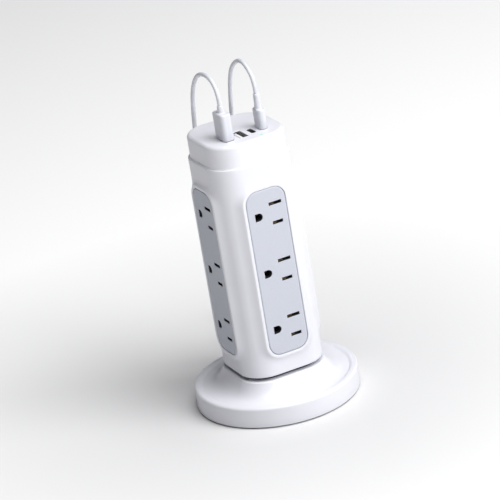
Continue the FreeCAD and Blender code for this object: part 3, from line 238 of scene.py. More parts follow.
def circuit_green():
    """Solder mask over copper tracks."""
    look = Look("green_circuit_board", (0.02, 0.16, 0.06), 0.3, Coat_Weight=0.4, Coat_Roughness=0.2)
    tracks = look.stripes(0.0024, "X", 3.0)
    look.colours(tracks, (0.012, 0.12, 0.045), (0.03, 0.22, 0.09))
    look.bump(tracks, 0.00003)
    return look.material


def rubber(name, colour):
    """Matt rubber with a fine cell pattern."""
    look = Look(name, colour, 0.75, Specular_IOR_Level=0.3)
    look.colours(look.noise(0.003, 5), tint(colour, 0.85), tint(colour, 1.2))
    look.rough(look.noise(0.001, 4), 0.66, 0.84)
    look.bump(look.grains(0.0004), 0.00003)
    return look.material


def ballast_steel():
    """A plain punched plate with mill scale and a few rusty spots."""
    look = Look("bare_steel", (0.3, 0.3, 0.31), 0.45, Metallic=1.0)
    spots = look.noise(0.007, 6)
    look.colours(spots, (0.34, 0.34, 0.35), (0.2, 0.15, 0.11))
    look.rough(look.noise(0.002, 5), 0.35, 0.65)
    look.bump(spots, 0.00006)
    return look.material


def cord_white():
    """Soft cable jacket with a faint extrusion pattern."""
    look = Look("soft_cable_white", LEAD_WHITE, 0.42)
    look.colours(look.noise(0.012, 3), tint(LEAD_WHITE, 0.975), tint(LEAD_WHITE, 1.01))
    look.rough(look.noise(0.003, 4), 0.36, 0.5)
    look.bump(look.noise(0.0011, 3), 0.00002)
    return look.material


def glowing_green():
    """A clear green light pipe that is lit from below."""
    look = Look("green_light_pipe", (0.05, 0.5, 0.2), 0.25, Emission_Strength=0.3)
    look.shader.inputs["Emission Color"].default_value = (0.12, 0.85, 0.3, 1)
    look.colours(look.noise(0.0009, 2), (0.08, 0.6, 0.22), (0.16, 0.85, 0.36))
    look.bump(look.noise(0.0005, 2), 0.00001)
    return look.material


def insulated(name, colour):
    """Glossy wire insulation."""
    look = Look(name, colour, 0.35)
    look.colours(look.noise(0.01, 3), tint(colour, 0.93), tint(colour, 1.05))
    look.rough(look.noise(0.002, 4), 0.28, 0.42)
    look.bump(look.noise(0.0008, 3), 0.00002)
    return look.material


SLOTS = {
    "shell": moulded("satin_white_plastic", WHITE, 0.34, 0.0018, 0.000004),
    "panel": panel_grey(),
    "base_plastic": moulded("textured_white_plastic", WHITE, 0.55, 0.0009, 0.00004),
    "insulator": moulded("black_insulator", (0.03, 0.03, 0.031), 0.6, 0.0005, 0.00002),
    "contact_brass": brushed("stamped_brass", (0.5, 0.33, 0.16), 0.4, (1, 1, 12)),
    "circuit_board": circuit_green(),
    "steel": brushed("nickel_plated_steel", (0.55, 0.55, 0.57), 0.28, (1, 12, 1)),
    "port_tongue": moulded("white_port_plastic", (0.72, 0.73, 0.75), 0.45, 0.0004, 0.00001),
    "port_dark": moulded("black_port_plastic", (0.015, 0.015, 0.017), 0.4, 0.0004, 0.00001),
    "component_dark": moulded("black_component_plastic", (0.02, 0.02, 0.023), 0.45, 0.0006, 0.00002),
    "light_pipe": glowing_green(),
    "foot_rubber": rubber("dark_foot_rubber", (0.03, 0.03, 0.033)),
    "ballast": ballast_steel(),
    "gland": rubber("white_gland_rubber", WHITE),
    "button": moulded("black_button_plastic", (0.02, 0.02, 0.022), 0.4, 0.0005, 0.000015),
    "varistor": moulded("blue_epoxy", (0.03, 0.1, 0.42), 0.3, 0.002, 0.00005),
    "wire_white": insulated("white_insulation", (0.75, 0.75, 0.74)),
    "wire_green": insulated("green_insulation", (0.03, 0.3, 0.07)),
    "wire_black": insulated("black_insulation", (0.015, 0.015, 0.015)),
    "lead_grip": moulded("white_plug_plastic", LEAD_WHITE, 0.38, 0.0006, 0.000008),
    "lead_cord": cord_white(),
}

for entry in frame["record"]["subparts"]:
    mesh = frame["nodes"][entry["node"]].data
    mesh.materials.clear()
    mesh.materials.append(SLOTS[entry["material_slot"]])

# ----------------------------------------
# Mesh helpers
# ----------------------------------------

# points round the largest pieces
FINE_COUNT = 192
# faces over this area in square metres are flat ones, and so are faces this near to level
LARGE_FACE = 5e-5
LEVEL = 0.99999
MERGE_DISTANCE = 1e-6
# cut edges that turn by more than this many degrees are bevelled
BEVELLED_ANGLE = 50


def shade(mesh, sharp):
    """Smooth shading, apart from edges over sharp degrees and large flat faces."""
    for face in mesh.polygons:
        face.use_smooth = face.area < LARGE_FACE
    mesh.set_sharp_from_angle(angle=math.radians(sharp))


def as_mesh(name, work):
    """Turn a bmesh into a mesh."""
    data = bpy.data.meshes.new(name)
    work.to_mesh(data)
    work.free()
    return data


def finish_piece(name, work, slot, body="tower", sharp=30):
    """Turn a bmesh into an object with that slot's material, riding on a body."""
    bmesh.ops.remove_doubles(work, verts=work.verts, dist=MERGE_DISTANCE)
    bmesh.ops.recalc_face_normals(work, faces=work.faces)
    data = as_mesh(name, work)
    shade(data, sharp)
    data.materials.append(SLOTS[slot])
    piece = placed(name, data)
    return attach(piece, body)


def reach(angle, half_x, half_y, corner):
    """How far a rounded rectangle reaches from its middle at an angle."""
    across, along = abs(math.cos(angle)), abs(math.sin(angle))
    inner_x, inner_y = half_x - corner, half_y - corner
    if across > 0 and half_x * along / across <= inner_y:
        return half_x / across
    if along > 0 and half_y * across / along <= inner_x:
        return half_y / along
    towards = across * inner_x + along * inner_y
    return towards + math.sqrt(max(towards ** 2 - inner_x ** 2 - inner_y ** 2 + corner ** 2, 0))


def ring(section, height, count):
    """Points round a section (half x, half y, corner) at a height."""
    points = []
    for index in range(count):
        angle = 2 * math.pi * index / count
        away = reach(angle, *section)
        points.append(Vector((away * math.cos(angle), away * math.sin(angle), height)))
    return points


def skin(work, rings):
    """Quads from each ring of points to the next."""
    rows = [[work.verts.new(point) for point in points] for points in rings]
    for low, high in zip(rows, rows[1:]):
        for index in range(len(low)):
            after = (index + 1) % len(low)
            work.faces.new((low[index], low[after], high[after], high[index]))
    return rows


def solid(rings, place=None):
    """A closed bmesh through rings, with a flat face at each end."""
    work = bmesh.new()
    rows = skin(work, rings)
    work.faces.new(reversed(rows[0]))
    work.faces.new(rows[-1])
    if place:
        work.transform(place)
    return work


def stacked(profile, count=96, place=None):
    """A closed solid from (half x, half y, corner, height) sections."""
    return solid([ring(step[:3], step[3], count) for step in profile], place)


def turned(profile, count, place):
    """A closed solid of revolution about Z from (radius, height) steps in millimetres."""
    steps = [(radius * MM, radius * MM, radius * MM, height * MM) for radius, height in profile]
    return stacked(steps, count, place)


def fillet(radius, start, end, steps):
    """(inset, rise) pairs along a quarter round, between two angles in degrees."""
    for step in range(steps + 1):
        angle = math.radians(start + (end - start) * step / steps)
        yield radius * (1 - math.cos(angle)), radius * math.sin(angle)


def carve(piece, cutters, bevel=0.0, sharp=30):
    """Take closed cutters out of a piece, then soften the cut edges."""
    tools = []
    for number, cutter in enumerate(cutters):
        bmesh.ops.recalc_face_normals(cutter, faces=cutter.faces)
        tool = placed(f"cutter_{number}", as_mesh(f"cutter_{number}", cutter))
        tools.append(tool)
        step = piece.modifiers.new(f"cut_{number}", "BOOLEAN")
        step.object = tool
        step.operation = "DIFFERENCE"
        step.solver = "EXACT"
    if bevel:
        step = piece.modifiers.new("soft_edges", "BEVEL")
        step.width = bevel
        step.segments = 2
        step.limit_method = "ANGLE"
        step.angle_limit = math.radians(BEVELLED_ANGLE)
    bpy.context.view_layer.update()
    depsgraph = bpy.context.evaluated_depsgraph_get()
    shape = bpy.data.meshes.new_from_object(piece.evaluated_get(depsgraph))
    piece.modifiers.clear()
    piece.data = shape
    shade(shape, sharp)
    for face in shape.polygons:
        if abs(face.normal.z) > LEVEL:
            face.use_smooth = False
    for tool in tools:
        bpy.data.objects.remove(tool)


def rectangle(middle_x, middle_y, half_x, half_y):
    """The corners of an upright rectangle."""
    return [(middle_x + right * half_x, middle_y + up * half_y)
            for right, up in ((-1, -1), (1, -1), (1, 1), (-1, 1))]


def prism(points, low, high):
    """A closed bmesh from an outline, between two heights."""
    return solid([[Vector((x, y, height)) for x, y in points] for height in (low, high)])


def boxes(name, items, slot, bevel, place=None):
    """Small bevelled blocks, each from a lowest to a highest corner in millimetres."""
    work = bmesh.new()
    for low, high in items:
        size = [(b - a) * MM for a, b in zip(low, high)]
        middle = [(a + b) / 2 * MM for a, b in zip(low, high)]
        block = Matrix.Translation(middle) @ Matrix.Diagonal((*size, 1))
        bmesh.ops.create_cube(work, size=1, matrix=block)
    bmesh.ops.bevel(work, geom=list(work.edges), offset=bevel * MM, segments=2, affect="EDGES",
                    profile=0.5)
    if place:
        work.transform(place)
    return finish_piece(name, work, slot)


def upright(angle):
    """Turns a shape built along Z so that it points outwards along a direction from the axis."""
    return Matrix.Rotation(math.radians(angle), 4, "Z") @ Matrix.Rotation(math.pi / 2, 4, "Y")


# ----------------------------------------
# USB leads: cords first, then their plugs
# ----------------------------------------

LEAD_RADIUS = 1.4
# the routes, in millimetres, from the strain relief to the floor behind the base
ROUTES = {
    "a": ((-11.7, -11.0, 203.0), (-11.7, -11.0, 210.4),
          (-11.6, -5.0, 217.8), (-11.5, 5.5, 219.8), (-11.4, 18.5, 216.0), (-11.2, 29.0, 204.5),
          (-11.1, 34.5, 188.0), (-10.8, 38.3, 169.0), (-10.2, 43.2, 139.0), (-8.8, 48.6, 105.0),
          (-6.2, 54.4, 71.0), (-2.6, 60.2, 40.0), (1.4, 65.4, 16.0),
          (4.2, 69.0, 1.5), (9.4, 87.6, 1.5), (20.4, 106.4, 1.5)),
    "c": ((13.4, -11.0, 203.6), (13.4, -11.0, 211.0),
          (13.7, -5.6, 217.6), (14.0, 4.5, 221.6), (14.2, 14.5, 218.6), (14.3, 24.0, 211.0),
          (14.4, 29.5, 199.0), (14.5, 33.0, 186.0), (14.6, 37.4, 168.0), (14.7, 42.4, 141.0),
          (14.5, 47.4, 109.0), (14.1, 52.2, 76.0), (13.5, 56.8, 45.0), (12.8, 60.6, 19.0),
          (12.9, 66.4, 1.5)),
}
COIL_MIDDLE = {"a": (45.6, 114.8), "c": (30.0, 78.0)}
COIL_START = {"a": 152.0, "c": 186.0}
COIL_TURNS = {"a": 6.45, "c": 6.544}
COIL_OUTER = 18.2
TURN_PITCH = 2.85
POINTS_PER_TURN = 16
# each layer spirals for its turns, then climbs onto the next one
LAYER_TURNS, CLIMB_TURNS = 2, 0.5
LAYER_STEP = LAYER_TURNS + CLIMB_TURNS
TOP_LAYER = 2
FLOOR_GAP = 0.1
# from the last turn up to the connector that lies on the coil, from the coil's middle
COIL_TAIL = ((10.2, -10.2, 9.4), (5.4, -17.4, 10.6), (-1.0, -23.8, 11.3), (-6.6, -25.6, 11.4),
             (-8.0, -22.0, 11.4), (-8.0, -17.0, 11.4))


def eased(share):
    """A share of the way that starts and ends gently."""
    return share ** 2 * (3 - 2 * share)


def coil_point(kind, turns):
    """A point of the coil, whose layers spiral inwards and outwards by turns."""
    layer = min(int(turns / LAYER_STEP), TOP_LAYER)
    share = turns - layer * LAYER_STEP
    inward = share if layer % 2 == 0 else LAYER_STEP - share
    radius = (COIL_OUTER - TURN_PITCH * inward) / math.cos(math.pi / POINTS_PER_TURN)
    climb = max(share - LAYER_TURNS, 0) / CLIMB_TURNS
    height = LEAD_RADIUS + FLOOR_GAP + TURN_PITCH * (layer + eased(climb))
    angle = math.radians(COIL_START[kind] - 360 * turns)
    across, along = COIL_MIDDLE[kind]
    return across + radius * math.cos(angle), along + radius * math.sin(angle), height


def make_cord(kind):
    """One smooth cord through its route, its coil and its tail."""
    count = round(COIL_TURNS[kind] * POINTS_PER_TURN)
    points = list(ROUTES[kind])
    points += [coil_point(kind, index / POINTS_PER_TURN) for index in range(count + 1)]
    across, along = COIL_MIDDLE[kind]
    points += [(across + x, along + y, height) for x, y, height in COIL_TAIL]
    curve = bpy.data.curves.new(f"usb_{kind}_lead", "CURVE")
    curve.dimensions = "3D"
    curve.bevel_depth = LEAD_RADIUS * MM
    curve.bevel_resolution = 6
    curve.resolution_u = 8
    curve.use_fill_caps = True
    spline = curve.splines.new("NURBS")
    spline.points.add(len(points) - 1)
    for control, point in zip(spline.points, points):
        control.co = (*(value * MM for value in point), 1)
    spline.order_u = 3
    spline.use_endpoint_u = True
    curve.materials.append(SLOTS["lead_cord"])
    cord = placed(f"usb_{kind}_lead", curve)
    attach(cord, "tower")
    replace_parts(cord, f"usb_{kind}_cord", f"usb_{kind}_coil")
    return cord


CORDS = {kind: make_cord(kind) for kind in "ac"}

# sections are (half x, half y, corner); the relief is the sleeve that the cord comes out of
PLUG_SIZES = {
    "a": {"section": (3.8, 7.0, 2.6), "relief": 4.4, "tip": (2.3, 6.0, 0.5)},
    "c": {"section": (2.8, 5.15, 2.6), "relief": 9.6, "tip": (1.05, 3.9, 1.0)},
}
PLUG_CROWN = 1.0
PLUG_GAP = 0.2
# (inset, height) of a grip's rounded foot
GRIP_FOOT = ((0.5, 0.0), (0.15, 0.15), (0.0, 0.5))
COLLAR_RADIUS, COLLAR_ROUND = LEAD_RADIUS + 0.9, 0.5
RELIEF_RADIUS, RELIEF_ROUND = LEAD_RADIUS + 0.55, 0.4
CORD_LAP = 0.1
THIN_STEP = 0.02
SMALLEST_CORNER = 0.4
TIP_WALL, TIP_FOLD, TIP_ROOT = 0.3, 0.1, 0.4
FAR_CORNER, FAR_CROWN, FAR_RELIEF, FAR_GRIP = 2.4, 1.2, 8.0, 20.0
FAR_TIP, FAR_TIP_LONG = (4.15, 1.2, 1.15), 6.5
FAR_INSET = 0.5


def plug_profile(section, tall, crown, relief):
    """Sections of a moulded grip that rounds over into its strain relief."""
    half_x, half_y, corner = section
    steps = [(half_x - inset, half_y - inset, corner - inset, height) for inset, height in GRIP_FOOT]
    steps.append((half_x, half_y, corner, tall / 2))
    for inset, rise in fillet(crown, 0, 80, 6):
        rounded = max(corner - inset, SMALLEST_CORNER)
        steps.append((half_x - inset, half_y - inset, rounded, tall - crown + rise))
    sleeve = [(COLLAR_RADIUS + COLLAR_ROUND, THIN_STEP)]
    for inset, rise in fillet(COLLAR_ROUND, 90, 0, 4):
        sleeve.append((COLLAR_RADIUS + inset, COLLAR_ROUND - rise + 2 * THIN_STEP))
    for share in (0.25, 0.5, 0.75):
        sleeve.append((COLLAR_RADIUS + (RELIEF_RADIUS - COLLAR_RADIUS) * share,
                       COLLAR_ROUND + (relief - COLLAR_ROUND - RELIEF_ROUND) * share))
    for inset, rise in fillet(RELIEF_ROUND, 0, 80, 4):
        sleeve.append((RELIEF_RADIUS - inset, relief - RELIEF_ROUND + rise))
    sleeve.append((LEAD_RADIUS - CORD_LAP, relief + 0.05))
    steps += [(radius, radius, radius, tall + height) for radius, height in sleeve]
    return [tuple(value * MM for value in step) for step in steps]


def metal_tip(name, section, low, place):
    """The hollow metal shell of a plug, with its folded-in end."""
    steps = ((0, TIP_ROOT), (0, low + 0.2), (TIP_FOLD, low + 0.03), (TIP_WALL - TIP_FOLD, low + 0.03),
             (TIP_WALL, low + 0.2), (TIP_WALL, TIP_ROOT - 1))
    rings = [(*((side - inset) * MM for side in section), height * MM) for inset, height in steps]
    return finish_piece(name, stacked(rings, place=place), "steel")


def make_plug(kind):
    """The grip and the metal shell of a plug that stands in its port."""
    low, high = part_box(f"usb_{kind}_plug")
    section, relief, tip = (PLUG_SIZES[kind][key] for key in ("section", "relief", "tip"))
    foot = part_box("top_cap")[1].z + PLUG_GAP * MM
    middle = Vector(ROUTES[kind][0]) * MM
    place = Matrix.Translation((middle.x, middle.y, foot))
    profile = plug_profile(section, (high.z - foot) / MM - relief, PLUG_CROWN, relief)
    grip = finish_piece(f"usb_{kind}_plug_grip", stacked(profile, place=place), "lead_grip")
    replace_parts(grip, f"usb_{kind}_plug")
    shell = metal_tip(f"usb_{kind}_plug_shell", tip, (low.z - foot) / MM, place)
    return [grip, shell]


def make_far_plug(kind):
    """The flat connector that lies on the coil, its tip away from the cord."""
    low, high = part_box(f"usb_{kind}_far_plug")
    across, height = (low.x + high.x) / 2, (low.z + high.z) / 2
    along = low.y + (FAR_RELIEF + FAR_GRIP - FAR_INSET) * MM
    place = Matrix.Translation((across, along, height)) @ Matrix.Rotation(math.pi / 2, 4, "X")
    section = ((high.x - low.x) / 2 / MM, (high.z - low.z) / 2 / MM, FAR_CORNER)
    profile = plug_profile(section, FAR_GRIP, FAR_CROWN, FAR_RELIEF)
    grip = finish_piece(f"usb_{kind}_far_grip", stacked(profile, place=place), "lead_grip")
    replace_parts(grip, f"usb_{kind}_far_plug")
    tip = metal_tip(f"usb_{kind}_far_shell", FAR_TIP, -FAR_TIP_LONG, place)
    return [grip, tip]


PLUGS = {kind: make_plug(kind) + make_far_plug(kind) for kind in "ac"}
for kind in "ac":
    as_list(PLUGS[kind])

# ----------------------------------------
# Tower shell with the raised frames round its windows
# ----------------------------------------

TOWER_LOW, TOWER_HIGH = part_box("tower_body")
PANEL_LOW, PANEL_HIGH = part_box("outlet_panel_front")
FLANGE_LAP = 1.5 * MM
WALL = 2.2 * MM
CORNER = 17.5 * MM
FRAME_PROUD = 1.44 * MM
FIT_GAP = 0.15 * MM
LIP = 0.8 * MM
EDGE_BREAK = 0.1 * MM
TOWER_FLOOR = 2.6 * MM
FLOOR_INSETS = (4.0, 9.0, 16.0)
FRAME_REACH = TOWER_HIGH.x
BODY_HALF = FRAME_REACH - FRAME_PROUD
FLAT = BODY_HALF - CORNER
PANEL_X = PANEL_HIGH.x - FLANGE_LAP
PANEL_Z = (PANEL_HIGH.z - PANEL_LOW.z) / 2 - FLANGE_LAP
PANEL_CORNER = 8.0 * MM
WINDOW_X, WINDOW_Z, WINDOW_CORNER = PANEL_X + FIT_GAP, PANEL_Z + FIT_GAP, PANEL_CORNER + FIT_GAP
PANEL_MIDDLE = (PANEL_LOW.z + PANEL_HIGH.z) / 2
# a side reaches round to the middle of its corners, and from one lip to the other
SIDE_ARC = FLAT + CORNER * math.pi / 4
PATCH_LOW = TOWER_LOW.z + LIP - PANEL_MIDDLE
PATCH_HIGH = TOWER_HIGH.z - LIP - PANEL_MIDDLE
PATCH_STEPS = 5
# (offset from the window's edge, share of the frame's height) from the window outwards
FRAME_STEPS = ((0.0, 0.9), (0.08, 0.97), (0.25, 1.0), (0.8, 1.0), (1.35, 1.0), (1.65, 0.985),
               (1.9, 0.93), (2.15, 0.84), (2.5, 0.7), (2.95, 0.53), (3.5, 0.36), (4.15, 0.21),
               (4.9, 0.1), (5.7, 0.035), (6.6, 0.0))


def window_rays():
    """(middle of its corner, direction, end on the border) for each point round a window."""
    inner_x, inner_z = WINDOW_X - WINDOW_CORNER, WINDOW_Z - WINDOW_CORNER
    short_steps, long_steps, corner_steps = 4, 15, 12
    rays = []
    for right, up in ((1, 1), (-1, 1), (-1, -1), (1, -1)):
        edge = PATCH_HIGH if up > 0 else PATCH_LOW
        quarter = []
        for step in range(long_steps + 1):
            height = inner_z * step / long_steps * up
            quarter.append(((inner_x * right, height), (right, 0), (SIDE_ARC * right, height)))
        for step in range(1, corner_steps):
            angle = math.pi / 2 * step / corner_steps
            share = 2 * step / corner_steps
            if share <= 1:
                border = (SIDE_ARC * right, (inner_z + (abs(edge) - inner_z) * share) * up)
            else:
                border = ((inner_x + (SIDE_ARC - inner_x) * (2 - share)) * right, edge)
            quarter.append(((inner_x * right, inner_z * up),
                            (math.cos(angle) * right, math.sin(angle) * up), border))
        for step in range(short_steps + 1):
            aside = inner_x * (1 - step / short_steps) * right
            quarter.append(((aside, inner_z * up), (0, up), (aside, edge)))
        if right * up < 0:
            quarter.reverse()
        rays += quarter[:-1]
    return rays


RAYS = window_rays()


def turned_to(side):
    """The turn about the axis that takes the front to that side."""
    return Matrix.Rotation(side * math.pi / 2, 3, "Z")


def arc_place(aside, half):
    """How far round the side a point lies that stands that far aside."""
    past = abs(aside) - FLAT
    if past <= 0:
        return aside
    return math.copysign(FLAT + CORNER * math.asin(min(past / (half - FLAT), 1)), aside)


def on_side(arc, height, half, inset=0.0):
    """The point of the tower's side at an arc place and height above the panel's middle."""
    past = abs(arc) - FLAT
    round_off = half - inset - FLAT
    if past <= 0:
        return Vector((arc, -half + inset, height + PANEL_MIDDLE))
    angle = past / CORNER
    aside = math.copysign(FLAT + round_off * math.sin(angle), arc)
    return Vector((aside, -FLAT - round_off * math.cos(angle), height + PANEL_MIDDLE))


def window_ring(offset, share, half):
    """The ring that far outside a window's edge, raised towards the frame's face."""
    points = []
    for (x, z), (out_x, out_z), _ in RAYS:
        aside, height = x + out_x * (WINDOW_CORNER + offset), z + out_z * (WINDOW_CORNER + offset)
        point = on_side(arc_place(aside, half), height, half)
        point.y -= (FRAME_REACH + point.y) * share
        points.append(point)
    return points


def outer_rings(offset, half):
    """Rings from that far outside the window's edge to the border of the side."""
    rings = []
    for step in range(1, PATCH_STEPS + 1):
        share = step / PATCH_STEPS
        points = []
        for (x, z), (out_x, out_z), (border_arc, border_height) in RAYS:
            arc = arc_place(x + out_x * (WINDOW_CORNER + offset), half)
            height = z + out_z * (WINDOW_CORNER + offset)
            points.append(on_side(arc + (border_arc - arc) * share,
                                  height + (border_height - height) * share, half))
        rings.append(points)
    return rings


def border_ring(edge, half, inset, height):
    """The ring round the whole tower at its upper or lower edge."""
    arcs = sorted({round(border[0], 9) for _, _, border in RAYS if border[1] == edge})
    points = []
    for side in range(len(SIDES)):
        points += [turned_to(side) @ on_side(arc, height - PANEL_MIDDLE, half, inset)
                   for arc in arcs[:-1]]
    return points


def make_tower():
    """Four sides with their frames and inner walls, closed by the lip and the floor."""
    work = bmesh.new()
    inner_half = BODY_HALF - WALL
    rings = list(reversed(outer_rings(0.0, inner_half))) + [window_ring(0.0, 0.0, inner_half)]
    rings += [window_ring(offset * MM, share, BODY_HALF) for offset, share in FRAME_STEPS]
    rings += outer_rings(FRAME_STEPS[-1][0] * MM, BODY_HALF)
    for side in range(len(SIDES)):
        skin(work, [[turned_to(side) @ point for point in points] for points in rings])
    top, low = TOWER_HIGH.z, TOWER_LOW.z
    lip = [border_ring(PATCH_HIGH, BODY_HALF, inset, top - LIP + rise)
           for inset, rise in fillet(LIP, 0, 90, 5)]
    lip += [border_ring(PATCH_HIGH, inner_half, -EDGE_BREAK, top),
            border_ring(PATCH_HIGH, inner_half, 0, top - EDGE_BREAK),
            border_ring(PATCH_HIGH, inner_half, 0, top - LIP)]
    skin(work, lip)
    under = [border_ring(PATCH_LOW, BODY_HALF, inset, low + LIP - rise)
             for inset, rise in fillet(LIP, 0, 90, 5)]
    under += [border_ring(PATCH_LOW, BODY_HALF, inset * MM, low) for inset in FLOOR_INSETS]
    under += [border_ring(PATCH_LOW, BODY_HALF, inset * MM, low + TOWER_FLOOR)
              for inset in reversed(FLOOR_INSETS)]
    under += [border_ring(PATCH_LOW, inner_half, 0, low + height) for height in (TOWER_FLOOR, LIP)]
    skin(work, under)
    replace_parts(finish_piece("tower_shell", work, "shell"), "tower_body")


make_tower()

# ----------------------------------------
# Outlet panels
# ----------------------------------------

PITCH, BLADE_ASIDE, BLADE_SPACING, GROUND_ASIDE = 38.0, 5.94, 12.7, -6.2
ROWS = (-PITCH, 0, PITCH)
SLOT_WIDTH, NEUTRAL_LONG, LINE_LONG, GROUND_HOLE = 2.2, 8.7, 7.1, 5.2
FLANGE_THICK, FLANGE_CORNER = 1.2 * MM, 0.6 * MM
PANEL_ROUND = 0.9 * MM
THIN = 0.01 * MM
# how far below the panel's face the black tubes of painted shade inside the slots begin and end, in
# millimetres
SHADE_TUBE_TOP, SHADE_TUBE_END, SHADE_TUBE_WALL = 0.4, 5.3, 0.1
# the brass lips: their depths from the slot's wall, and how far below the face they reach
BRASS_DEPTHS, BRASS_TOP, BRASS_END, BRASS_ASIDE = (0.12, 0.5), 2.0, 5.2, 0.5


def blade_slots(row):
    """(height of its middle, length) of the two slots of the outlet at that height."""
    for long, up in ((NEUTRAL_LONG, 1), (LINE_LONG, -1)):
        yield row + up * BLADE_SPACING / 2, long


def outlet_outlines():
    """Outlines of the slots and ground holes, in millimetres from the panel's middle."""
    half, left = GROUND_HOLE / 2, GROUND_ASIDE - GROUND_HOLE / 2
    for row in ROWS:
        for height, long in blade_slots(row):
            yield rectangle(BLADE_ASIDE, height, long / 2, SLOT_WIDTH / 2)
        bow = [(GROUND_ASIDE + half * math.cos(angle), row + half * math.sin(angle))
               for angle in (math.radians(-90 + 180 * step / 16) for step in range(17))]
        yield bow + [(left, row + half), (left, row - half)]


def stood(number):
    """Stands what was built lying down, face up, against a side of the tower."""
    return (Matrix.Rotation(number * math.pi / 2, 4, "Z") @ Matrix.Translation((0, 0, PANEL_MIDDLE))
            @ Matrix.Rotation(math.pi / 2, 4, "X"))


def make_panel(side, number):
    """A panel with its flange, slots and ground holes, and a rounded edge to its face."""
    back, face = -PANEL_HIGH.y, FRAME_REACH
    flange = (PANEL_X + FLANGE_LAP, PANEL_Z + FLANGE_LAP, FLANGE_CORNER)
    sections = [(*flange, back), (*flange, back + FLANGE_THICK),
                (PANEL_X, PANEL_Z, PANEL_CORNER, back + FLANGE_THICK + THIN)]
    for share in (0, 0.2, 0.45, 0.7, 0.9, 1):
        inset = PANEL_ROUND * (1 - math.cos(share * math.pi / 2))
        height = face - PANEL_ROUND * (1 - math.sin(share * math.pi / 2))
        sections.append((PANEL_X - inset, PANEL_Z - inset, PANEL_CORNER - inset, height))
    panel = finish_piece(f"outlet_face_{side}", stacked(sections, FINE_COUNT), "panel")
    cutters = [prism([(x * MM, y * MM) for x, y in points], back - MM, face + MM)
               for points in outlet_outlines()]
    carve(panel, cutters, 0.2 * MM)
    panel.data.transform(stood(number))
    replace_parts(panel, f"outlet_panel_{side}")


def make_shade_tubes(side, number):
    """Dark tubes that line the slots and ground holes below the panel's face: painted shade where the
    inside of each hole is only in shadow.
    """
    work = bmesh.new()
    mouth, depth = FRAME_REACH - SHADE_TUBE_TOP * MM, FRAME_REACH - SHADE_TUBE_END * MM
    for outline in outlet_outlines():
        middle = Vector((sum(x for x, _ in outline), sum(y for _, y in outline))) / len(outline)
        outer, inner = [], []
        for point in outline:
            wall = Vector([math.copysign(SHADE_TUBE_WALL, value) for value in Vector(point) - middle])
            outer.append(Vector(point) * MM)
            inner.append((Vector(point) - wall) * MM)
        tube = ((outer, depth), (outer, mouth), (inner, mouth), (inner, depth), (outer, depth))
        skin(work, [[Vector((*point, height)) for point in points] for points, height in tube])
    work.transform(stood(number))
    # painted shade: black walls inside the slots and ground holes, which are only in shadow
    finish_piece(f"slot_shade_tubes_{side}", work, "insulator")


def make_lips(side, number):
    """The brass lips of the contacts, which show just inside each slot."""
    face = FRAME_REACH / MM
    items = []
    for height, long in (slot for row in ROWS for slot in blade_slots(row)):
        left = BLADE_ASIDE - long / 2
        for rise in (-1, 1):
            near, far = sorted(height + rise * (SLOT_WIDTH / 2 - depth) for depth in BRASS_DEPTHS)
            items.append(((left + BRASS_ASIDE, near, face - BRASS_END),
                          (left + long / 2, far, face - BRASS_TOP)))
    boxes(f"contact_lips_{side}", items, "contact_brass", 0.08, stood(number))


for number, side in enumerate(SIDES):
    make_panel(side, number)
    make_shade_tubes(side, number)
    make_lips(side, number)

# ----------------------------------------
# Top cap, port details and status light
# ----------------------------------------

CAP_LOW, CAP_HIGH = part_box("top_cap")
CAP_HALF, CAP_CORNER, CAP_ROUND = 26.9, 16.6, 2.4
# (flare, height over the tower) of the cap's foot
CAP_FOOT = ((0.3, 0.05), (0.18, 0.2), (0.05, 0.5), (0.0, 0.9), (0.0, 6.0))
SPIGOT_HALF, SPIGOT_CORNER, SPIGOT_WALL = 25.85, 15.15, 2.0
CAP_THICK = 2.2
PORT_ROW = -11.0
PORTS_A, PORTS_C = (-11.7, -1.9), (6.1, 13.4)
PORT_A_HALF = (3.0, 6.7)
PORT_C_SECTION = (1.75 * MM, 4.6 * MM, 1.6 * MM)
PORT_CUT = 5.0
LIGHT_HOLE, LIGHT_SHOULDER = 0.84, 1.0
# (radius, height from the top of the cap) of the light pipe, from its shoulder up
LIGHT_STEPS = ((1.0, -2.6), (0.78, -2.3), (0.78, -0.25), (0.64, -0.12), (0.3, -0.06))
# a USB-A tongue: its sides from the port's middle, and how far under the cap's top it ends
TONGUE_BACK, TONGUE_FACE, TONGUE_HALF, TONGUE_DROP = -1.85, -0.05, 5.5, 0.7
TONGUE_FOOT = (2.4, 6.1, 1.6)


def status_mouth():
    """The place of the status light's hole, in the top of the cap."""
    low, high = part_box("status_light")
    middle = (low + high) / 2
    return Matrix.Translation((middle.x, middle.y, CAP_HIGH.z))


def port_cutters():
    """Cutters for the four ports and the status light."""
    low, high = CAP_HIGH.z - PORT_CUT * MM, CAP_HIGH.z + PORT_CUT * MM
    for x in PORTS_A:
        corners = rectangle(x, PORT_ROW, *PORT_A_HALF)
        yield prism([(aside * MM, along * MM) for aside, along in corners], low, high)
    for x in PORTS_C:
        place = Matrix.Translation((x * MM, PORT_ROW * MM, 0))
        yield stacked([(*PORT_C_SECTION, height) for height in (low, high)], 64, place)
    yield turned([(LIGHT_HOLE, -PORT_CUT), (LIGHT_HOLE, PORT_CUT)], 32, status_mouth())


